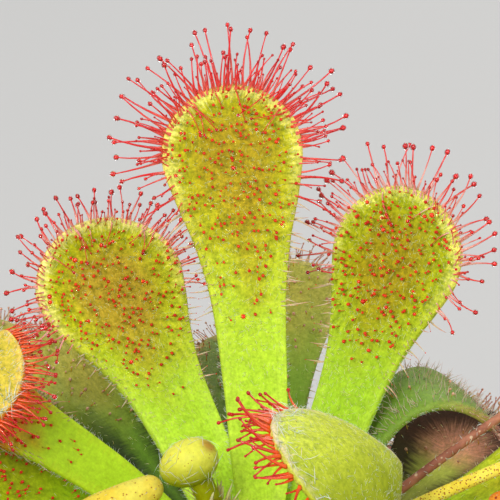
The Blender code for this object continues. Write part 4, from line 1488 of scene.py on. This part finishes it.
def stemShreds(line, count, draw):
    # torn papery strips that stand round the middle of a stem
    chosen = draw.integers(len(line) // 3, len(line) * 5 // 8, count)
    root = np.array([line[i][0] for i in chosen])
    radius = np.array([line[i][1] for i in chosen])
    turn = draw.uniform(0, 2 * math.pi, count)
    outward, side = aroundAxis(turn)
    way = unit(outward * draw.uniform(0.2, 0.9, (count, 1)) + upward)
    length = draw.uniform(1.2, 2.6, count) * mm
    bend = (outward * draw.uniform(-0.2, 0.4, (count, 1)) + randomUnit(draw, count) * 0.2) * length[:, None]
    root = root + outward * (0.85 * radius)[:, None]
    return strandsFrom(draw, root, way, length, draw.uniform(0.14, 0.4, count) * mm, bend, side)


def makeStems():
    draw = np.random.default_rng(23)
    for name, look in stemLooks.items():
        line = stemLine(look["path"])
        stem = modelStem(line)
        stem.data.materials.append(stemSkins[look["skin"]])
        stemFaces = len(stem.data.polygons)
        if look["bud"]:
            egg = modelEgg(look["bud"])
            egg.data.materials.append(stemSkins[look["budSkin"]])
            pick(stem)
            egg.select_set(True)
            bpy.ops.object.join()
        stem.data.shade_smooth()
        addPiece(stem, name + "_skin", [], [name])
        hairs = skinHairs(
            stem, stemFaces, look["hairs"], look["hairLength"], draw, look["hairRadius"], look["hairLying"]
        )
        parts = [rodPart(hairs, hairShape)]
        if look["shreds"]:
            parts.append(rodPart(stemShreds(line, look["shreds"], draw), hairShape, 1, 0.12))
        fuzz = meshFrom(name + "_hairs", parts, [strandMaterials["white"], papery])
        addPiece(fuzz, name + "_hairs", [])
    print("stems and bud made")


makeStems()


# crown stem with its papery stipules

crownLook = {
    # in mm
    "radius": 3.4,
    "top": 0.9,
    "height": 9.0,
    "buried": 8.9,
    "rootTaper": 2.2,  # height of the narrowing foot
    "rings": 26,
    "stipules": 90,
    "stipuleLength": 2.6,
    "stipuleRadius": (0.12, 0.4),
}


def makeCrown(look):
    # a tapering stub with worn rings where old leaves came off
    deselectAll()
    depth = look["height"] + look["buried"]
    middle = crownFoot + (look["height"] - look["buried"]) / 2 * mm
    bpy.ops.mesh.primitive_cylinder_add(
        vertices=40, radius=look["radius"] * mm, depth=depth * mm, location=(0, 0, middle)
    )
    stub = bpy.context.object
    bpy.ops.object.transform_apply(location=True, rotation=True, scale=True)
    bpy.ops.object.mode_set(mode="EDIT")
    cutAcross(crownFoot + (-look["buried"] + depth * i / look["rings"]) * mm for i in range(1, look["rings"]))
    bpy.ops.object.mode_set(mode="OBJECT")
    for vertex in stub.data.vertices:
        level = (vertex.co.z - crownFoot) / mm
        if level > 0:
            taper = 1 - (1 - look["top"] / look["radius"]) * min(level / look["height"], 1)
        else:
            taper = 1 - 0.45 * max(-level - look["buried"] + look["rootTaper"], 0) / look["rootTaper"]
        around = math.atan2(vertex.co.y, vertex.co.x)
        worn = 1 - 0.05 * abs(math.sin(level * 2.4 + around)) - 0.03 * abs(math.sin(3 * around + level))
        vertex.co.xy *= taper * worn
    stub.data.shade_smooth()
    skin = skinMaterial(
        "crown_skin", (0.20, 0.20, 0.03), (0.12, 0.07, 0.02), (0.06, 0.03, 0.015), 900, 0.3, 0.7, 0.1, 0.5
    )
    addPiece(stub, "crown_stub", [skin], ["crown"])

    # papery stipules all round it
    draw = np.random.default_rng(5)
    count = look["stipules"]
    level = draw.uniform(1.0, 8.6, count)
    turn = draw.uniform(0, 2 * math.pi, count)
    out = look["radius"] - (look["radius"] - look["top"]) * level / look["height"]
    outward, side = aroundAxis(turn)
    root = outward * (out * 0.9 * mm)[:, None] + np.array([0, 0, crownFoot]) + upward * (level * mm)[:, None]
    way = unit(outward * draw.uniform(0.2, 0.7, (count, 1)) + upward)
    length = look["stipuleLength"] * mm * draw.uniform(0.7, 1.3, count)
    radius = draw.uniform(*look["stipuleRadius"], count) * mm
    bend = (outward * draw.uniform(-0.2, 0.5, (count, 1)) + randomUnit(draw, count) * 0.15) * length[:, None]
    shreds = strandsFrom(draw, root, way, length, radius, bend, side)
    addPiece(meshFrom("stipules", [rodPart(shreds, hairShape, 0, 0.14)], [papery]), "stipules", [])
    print("crown made")


makeCrown(crownLook)


# soil

soilLook = {
    # in mm
    "height": 56.2,
    "foot": 2.3,
    "topRadius": 28.75,
    "footRadius": 21.1,
    "drop": 1.2,  # how far the top falls towards the pot's wall
    "bumps": ((0.35, 0.32), (0.8, 0.2), (1.9, 0.13), (3.7, 0.08)),  # wave per mm, and height
    "crumbs": 2600,
    "lumps": 90,
    "perlite": 90,
    "fibres": 160,
    "fibreLength": (1.2, 4.0),
    "fibreRadius": (0.05, 0.12),
}


def soilTop(look, share):
    # height of the soil's top in mm at a share of its radius
    return look["height"] - look["drop"] * smoothStep((share - 0.35) / 0.65)


def modelPlug(look, draw):
    # a plug whose top is a fine uneven crust, with its side and underside drawn down from the rim
    deselectAll()
    bpy.ops.mesh.primitive_grid_add(x_subdivisions=96, y_subdivisions=96, size=2)
    plug = bpy.context.object
    mesh = plug.data
    points = readAll(mesh.vertices, "co", 3)
    x, y = points[:, 0].copy(), points[:, 1].copy()
    points[:, 0] = x * np.sqrt(1 - y * y / 2) * look["topRadius"] * mm
    points[:, 1] = y * np.sqrt(1 - x * x / 2) * look["topRadius"] * mm
    share = np.hypot(points[:, 0], points[:, 1]) / mm / look["topRadius"]
    bumps = np.zeros(len(points))
    for wave, amount in look["bumps"]:
        for _ in range(5):
            turn, phase = draw.uniform(0, 2 * math.pi, 2)
            run = (points[:, 0] * math.cos(turn) + points[:, 1] * math.sin(turn)) / mm
            bumps += amount / 2.2 * np.sin(run * wave * draw.uniform(0.8, 1.2) + phase)
    settle = 1 - smoothStep((share - 0.93) / 0.07)
    points[:, 2] = (soilTop(look, share) - 0.5 + bumps * 0.7 * settle) * mm
    mesh.vertices.foreach_set("co", points.ravel())
    bpy.ops.object.mode_set(mode="EDIT")
    bpy.ops.mesh.select_all(action="SELECT")
    bpy.ops.mesh.region_to_loop()
    down = (look["foot"] - look["height"] + (look["drop"] + 0.5)) * mm
    bpy.ops.mesh.extrude_edges_move(TRANSFORM_OT_translate={"value": (0, 0, down)})
    narrowTo(look["footRadius"] / look["topRadius"])
    bpy.ops.mesh.edge_face_add()
    bpy.ops.mesh.select_all(action="SELECT")
    bpy.ops.mesh.normals_make_consistent(inside=False)
    bpy.ops.object.mode_set(mode="OBJECT")
    mesh.shade_smooth()
    mesh.set_sharp_from_angle(angle=math.radians(50))
    return plug


def peatMaterial():
    peat, tree, shader = newMaterial("peat")
    spot = objectPlace(tree)
    coarse, fine = noiseNode(tree, spot, 420, 4.0, 0.65), noiseNode(tree, spot, 1500, 3.0, 0.6)
    colour = mixColour(tree, rangeNode(tree, coarse, 0.35, 0.7), (0.022, 0.012, 0.007), (0.085, 0.045, 0.022))
    colour = mixColour(tree, rangeNode(tree, fine, 0.62, 0.72, 0.0, 0.7), colour, (0.16, 0.10, 0.05))
    link(tree, colour, shader.inputs["Base Color"])
    link(tree, rangeNode(tree, coarse, 0.3, 0.7, 0.55, 0.95), shader.inputs["Roughness"])
    height = mathNode(tree, "ADD", coarse, mathNode(tree, "MULTIPLY", fine, 0.5))
    addRelief(tree, shader, height, 0.9, 0.6 * mm)
    return peat


def perliteMaterial():
    white, tree, shader = newMaterial("perlite")
    grain = noiseNode(tree, objectPlace(tree), 1800, 3.0)
    colour = mixColour(tree, rangeNode(tree, grain, 0.4, 0.65), (0.72, 0.70, 0.64), (0.48, 0.44, 0.36))
    link(tree, colour, shader.inputs["Base Color"])
    link(tree, rangeNode(tree, grain, 0.3, 0.7, 0.7, 0.9), shader.inputs["Roughness"])
    return white


def scatterGrains(look, draw, count, low, high, squash):
    # knobbly grains from low to high mm in radius over the soil's top, for meshFrom
    spread = np.sqrt(draw.uniform(0.02, 0.955, count)) * look["topRadius"]
    turn = draw.uniform(0, 2 * math.pi, count)
    down = soilTop(look, spread / look["topRadius"]) - 0.45
    centre = np.stack([spread * np.cos(turn), spread * np.sin(turn), down], axis=-1) * mm
    size = draw.uniform(low, high, count) * mm
    way, side = randomUnit(draw, count), randomUnit(draw, count)
    spot = dict(root=centre, way=way, length=np.full(count, 1e-9), bend=np.zeros((count, 3)), side=side)
    away = endPlaces(spot, crumbShape, size) - centre[:, None]
    away = away * draw.uniform(0.65, 1.2, (count, away.shape[1], 1)) * np.array([1, 1, squash])
    return centre[:, None] + away, crumbShape, 0, 0.5, draw.uniform(size=count)


def peatFibres(look, draw):
    # dry threads that lie on the soil, inside the pot's wall
    count = look["fibres"]
    spread = np.sqrt(draw.uniform(0.03, 0.9, count)) * look["topRadius"]
    turn = draw.uniform(0, 2 * math.pi, count)
    level = soilTop(look, spread / look["topRadius"]) - 0.2
    root = np.stack([spread * np.cos(turn), spread * np.sin(turn), level], axis=-1) * mm
    way = unit(
        np.stack(
            [draw.normal(size=count), draw.normal(size=count), draw.uniform(0.0, 0.18, count)], axis=-1
        )
    )
    length = draw.uniform(*look["fibreLength"], count) * mm
    keep = np.hypot(*(root + way * length[:, None])[:, :2].T) < look["topRadius"] * 0.97 * mm
    radius = draw.uniform(*look["fibreRadius"], count) * mm
    bend = randomUnit(draw, count) * length[:, None] * 0.15 - np.array([0, 0, 0.1]) * length[:, None]
    return selectStrands(strandsFrom(draw, root, way, length, radius, bend, randomUnit(draw, count)), keep)


def makeSoil(look):
    draw = np.random.default_rng(31)
    peat, white = peatMaterial(), perliteMaterial()
    addPiece(modelPlug(look, draw), "soil_plug", [peat], ["soil"])
    crumbs = [
        scatterGrains(look, draw, look["crumbs"], 0.25, 0.85, 0.75),
        scatterGrains(look, draw, look["lumps"], 0.8, 1.4, 0.6),
    ]
    addPiece(meshFrom("soil_crumbs", crumbs, [peat]), "soil_crumbs", []).data.shade_flat()
    bits = [scatterGrains(look, draw, look["perlite"], 0.45, 1.05, 0.8)]
    addPiece(meshFrom("perlite_bits", bits, [white]), "perlite_bits", []).data.shade_flat()
    dry = strandMaterial("peat_fibre", (0.16, 0.09, 0.045), (0.24, 0.15, 0.08), 0.5, 0.8, 0.0)
    fibres = meshFrom("peat_fibres", [rodPart(peatFibres(look, draw), hairShape)], [dry])
    addPiece(fibres, "peat_fibres", [])
    print("soil made")


makeSoil(soilLook)


# pot

potLook = {
    # in mm
    "height": 58.0,
    "rimRadius": 33.0,
    "rimDepth": 8.0,
    "rimSwell": 1.9,
    "topRadius": 31.0,
    "footRadius": 23.0,
    "footInset": 0.9,
    "wall": 1.4,
    "floor": 2.0,
    "softEdge": 0.32,
    "sides": 128,
    "holes": 6,
    "holeRadius": 2.4,
    "holeCircle": 14.0,
    "colour": (0.36, 0.115, 0.055),
    "worn": (0.50, 0.22, 0.13),
    "footColour": (0.20, 0.13, 0.09),
}


def selectFaces(piece, test):
    # selects the faces whose middle and normal pass the test, in edit mode
    bpy.ops.object.mode_set(mode="OBJECT")
    for part in (piece.data.vertices, piece.data.edges, piece.data.polygons):
        part.foreach_set("select", [False] * len(part))
    for face in piece.data.polygons:
        face.select = test(face.center, face.normal)
    bpy.ops.object.mode_set(mode="EDIT")
    bpy.ops.mesh.select_mode(type="FACE")


def modelPot(look):
    # a tapered tub: its rim swells from the wall, its inside is inset and pushed down from the top
    deselectAll()
    height = look["height"] * mm
    bpy.ops.mesh.primitive_cone_add(
        vertices=look["sides"], radius1=look["footRadius"] * mm, radius2=look["topRadius"] * mm, depth=height,
        location=(0, 0, height / 2),
    )
    pot = bpy.context.object
    bpy.ops.object.transform_apply(location=True, rotation=True, scale=True)
    bpy.ops.object.mode_set(mode="EDIT")
    step = (look["height"] - look["rimDepth"]) * mm
    cutAcross((1.0 * mm, step - 0.6 * mm, step))
    selectFaces(pot, lambda middle, normal: middle.z > step and abs(normal.z) < 0.5)
    bpy.ops.mesh.extrude_region_shrink_fatten(TRANSFORM_OT_shrink_fatten={"value": look["rimSwell"] * mm})
    selectFaces(pot, lambda middle, normal: middle.z < 0.0002 * mm and normal.z < -0.9)
    narrowTo((look["footRadius"] - look["footInset"]) / look["footRadius"])
    bpy.ops.object.mode_set(mode="OBJECT")
    for vertex in pot.data.vertices:
        out = vertex.co.xy.length
        if vertex.co.z > step - 0.1 * mm and out > (look["topRadius"] + 0.4) * mm:
            fall = 0.5 * (height - vertex.co.z) / (look["rimDepth"] * mm)
            vertex.co.xy *= (look["rimRadius"] - fall) * mm / out
            vertex.co.z = min(vertex.co.z, height)
        elif vertex.co.z > height - 0.1 * mm:
            vertex.co.z = height
    lid = height - 0.1 * mm
    selectFaces(pot, lambda middle, normal: normal.z > 0.9 and middle.z > lid and middle.xy.length < 5 * mm)
    narrowTo((look["topRadius"] - look["wall"] + 0.6) / look["topRadius"])
    inside = (
        (1.0, look["topRadius"] - look["wall"]),
        (look["height"] - look["floor"] - 1.0, look["footRadius"] - look["wall"]),
    )
    for drop, radius in inside:
        bpy.ops.mesh.extrude_region_move(TRANSFORM_OT_translate={"value": (0, 0, -drop * mm)})
        bpy.ops.object.mode_set(mode="OBJECT")
        for vertex in pot.data.vertices:
            if vertex.select:
                vertex.co.xy *= radius * mm / max(vertex.co.xy.length, 1e-9)
        bpy.ops.object.mode_set(mode="EDIT")
    bpy.ops.object.mode_set(mode="OBJECT")
    return pot


def cutDrains(pot, look):
    # round holes through the floor, and then softened edges all over
    cutters = bpy.data.collections.new("drain_cutters")
    bpy.context.scene.collection.children.link(cutters)
    circle = look["holeCircle"] * mm
    for i in range(look["holes"]):
        turn = 2 * math.pi * (i + 0.5) / look["holes"]
        deselectAll()
        place = (circle * math.cos(turn), circle * math.sin(turn), 0)
        bpy.ops.mesh.primitive_cylinder_add(
            vertices=32, radius=look["holeRadius"] * mm, depth=8 * mm, location=place
        )
        cutter = bpy.context.object
        for old in list(cutter.users_collection):
            old.objects.unlink(cutter)
        cutters.objects.link(cutter)
    cut = pot.modifiers.new("drain holes", "BOOLEAN")
    cut.operand_type = "COLLECTION"
    cut.collection = cutters
    soft = pot.modifiers.new("edges", "BEVEL")
    soft.width = look["softEdge"] * mm
    soft.segments = 3
    soft.limit_method = "ANGLE"
    soft.angle_limit = math.radians(40)
    pick(pot)
    for each in ("drain holes", "edges"):
        bpy.ops.object.modifier_apply(modifier=each)
    for cutter in list(cutters.objects):
        bpy.data.objects.remove(cutter)
    bpy.data.collections.remove(cutters)


def potMaterial(look):
    # matt plastic with faint clouds, scuffs round it and a darker brown towards its foot
    made, tree, shader = newMaterial("pot_plastic")
    spot = objectPlace(tree)
    split = addNode(tree, "ShaderNodeSeparateXYZ")
    link(tree, spot, split.inputs[0])
    cloud = noiseNode(tree, spot, 60, 4.0)
    grain = noiseNode(tree, spot, 1400, 2.0)
    scuff = noiseNode(tree, spot, 1.0, 4.0, 0.6, (90, 90, 700))
    colour = mixColour(tree, rangeNode(tree, cloud, 0.3, 0.7), look["colour"], dimmed(look["colour"], 0.82))
    colour = mixColour(tree, rangeNode(tree, scuff, 0.66, 0.78, 0.0, 0.35), colour, look["worn"])
    # darker and browner from 20 mm down to the foot
    footward = mathNode(tree, "ADD", split.outputs["Z"], mathNode(tree, "MULTIPLY", cloud, 10 * mm))
    colour = mixColour(tree, rangeNode(tree, footward, 20 * mm, 4 * mm, 0.0, 0.45), colour, look["footColour"])
    link(tree, colour, shader.inputs["Base Color"])
    link(tree, rangeNode(tree, scuff, 0.35, 0.75, 0.36, 0.55), shader.inputs["Roughness"])
    addRelief(tree, shader, mathNode(tree, "ADD", grain, scuff), 0.25, 0.1 * mm)
    return made


def makePot(look):
    pot = modelPot(look)
    cutDrains(pot, look)
    pick(pot)
    bpy.ops.object.shade_smooth_by_angle(angle=math.radians(35))
    addPiece(pot, "pot_shell", [potMaterial(look)], ["pot"])
    print("pot made")


makePot(potLook)


# stage and light

stageLook = {
    "floorRadius": 2.5,  # metres
    "floor": (0.62, 0.61, 0.59),
    "sky": (0.80, 0.82, 0.85),
    "skyStrength": 0.42,
}


def addStage(look):
    deselectAll()
    bpy.ops.mesh.primitive_circle_add(vertices=96, radius=look["floorRadius"], fill_type="NGON")
    floor = bpy.context.object
    floor.name = "floor"
    made, tree, shader = newMaterial("floor_plain")
    shade = rangeNode(tree, noiseNode(tree, objectPlace(tree), 6, 3.0), 0.3, 0.7, 0.0, 0.12)
    link(tree, mixColour(tree, shade, look["floor"], dimmed(look["floor"], 0.9)), shader.inputs["Base Color"])
    setInputs(shader, {"Roughness": 0.75})
    floor.data.materials.append(made)
    world = bpy.data.worlds.new("studio")
    world.use_nodes = True
    setInputs(
        world.node_tree.nodes["Background"], {"Color": (*look["sky"], 1), "Strength": look["skyStrength"]}
    )
    bpy.context.scene.world = world
    bpy.context.scene.view_settings.view_transform = "Standard"  # shows the leaves' full yellow-green


lights = {
    "key": dict(place=(-0.28, -0.42, 0.52), size=0.46, power=3.0),
    "spark": dict(place=(-0.20, -0.46, 0.46), size=0.05, power=0.8),
    "fill": dict(place=(0.45, -0.30, 0.30), size=0.34, power=1.3),
    "rim": dict(place=(0.10, 0.50, 0.45), size=0.30, power=1.3),
}


def addLights():
    aim = Vector((0, 0, 0.07))  # the middle of the plant
    for name, look in lights.items():
        lamp = bpy.data.lights.new(name, "AREA")
        lamp.energy = look["power"]
        lamp.size = look["size"]
        holder = newObject(name, lamp)
        holder.location = look["place"]
        holder.rotation_euler = (aim - holder.location).to_track_quat("-Z", "Y").to_euler()


addStage(stageLook)
addLights()
print("stage and lights placed")
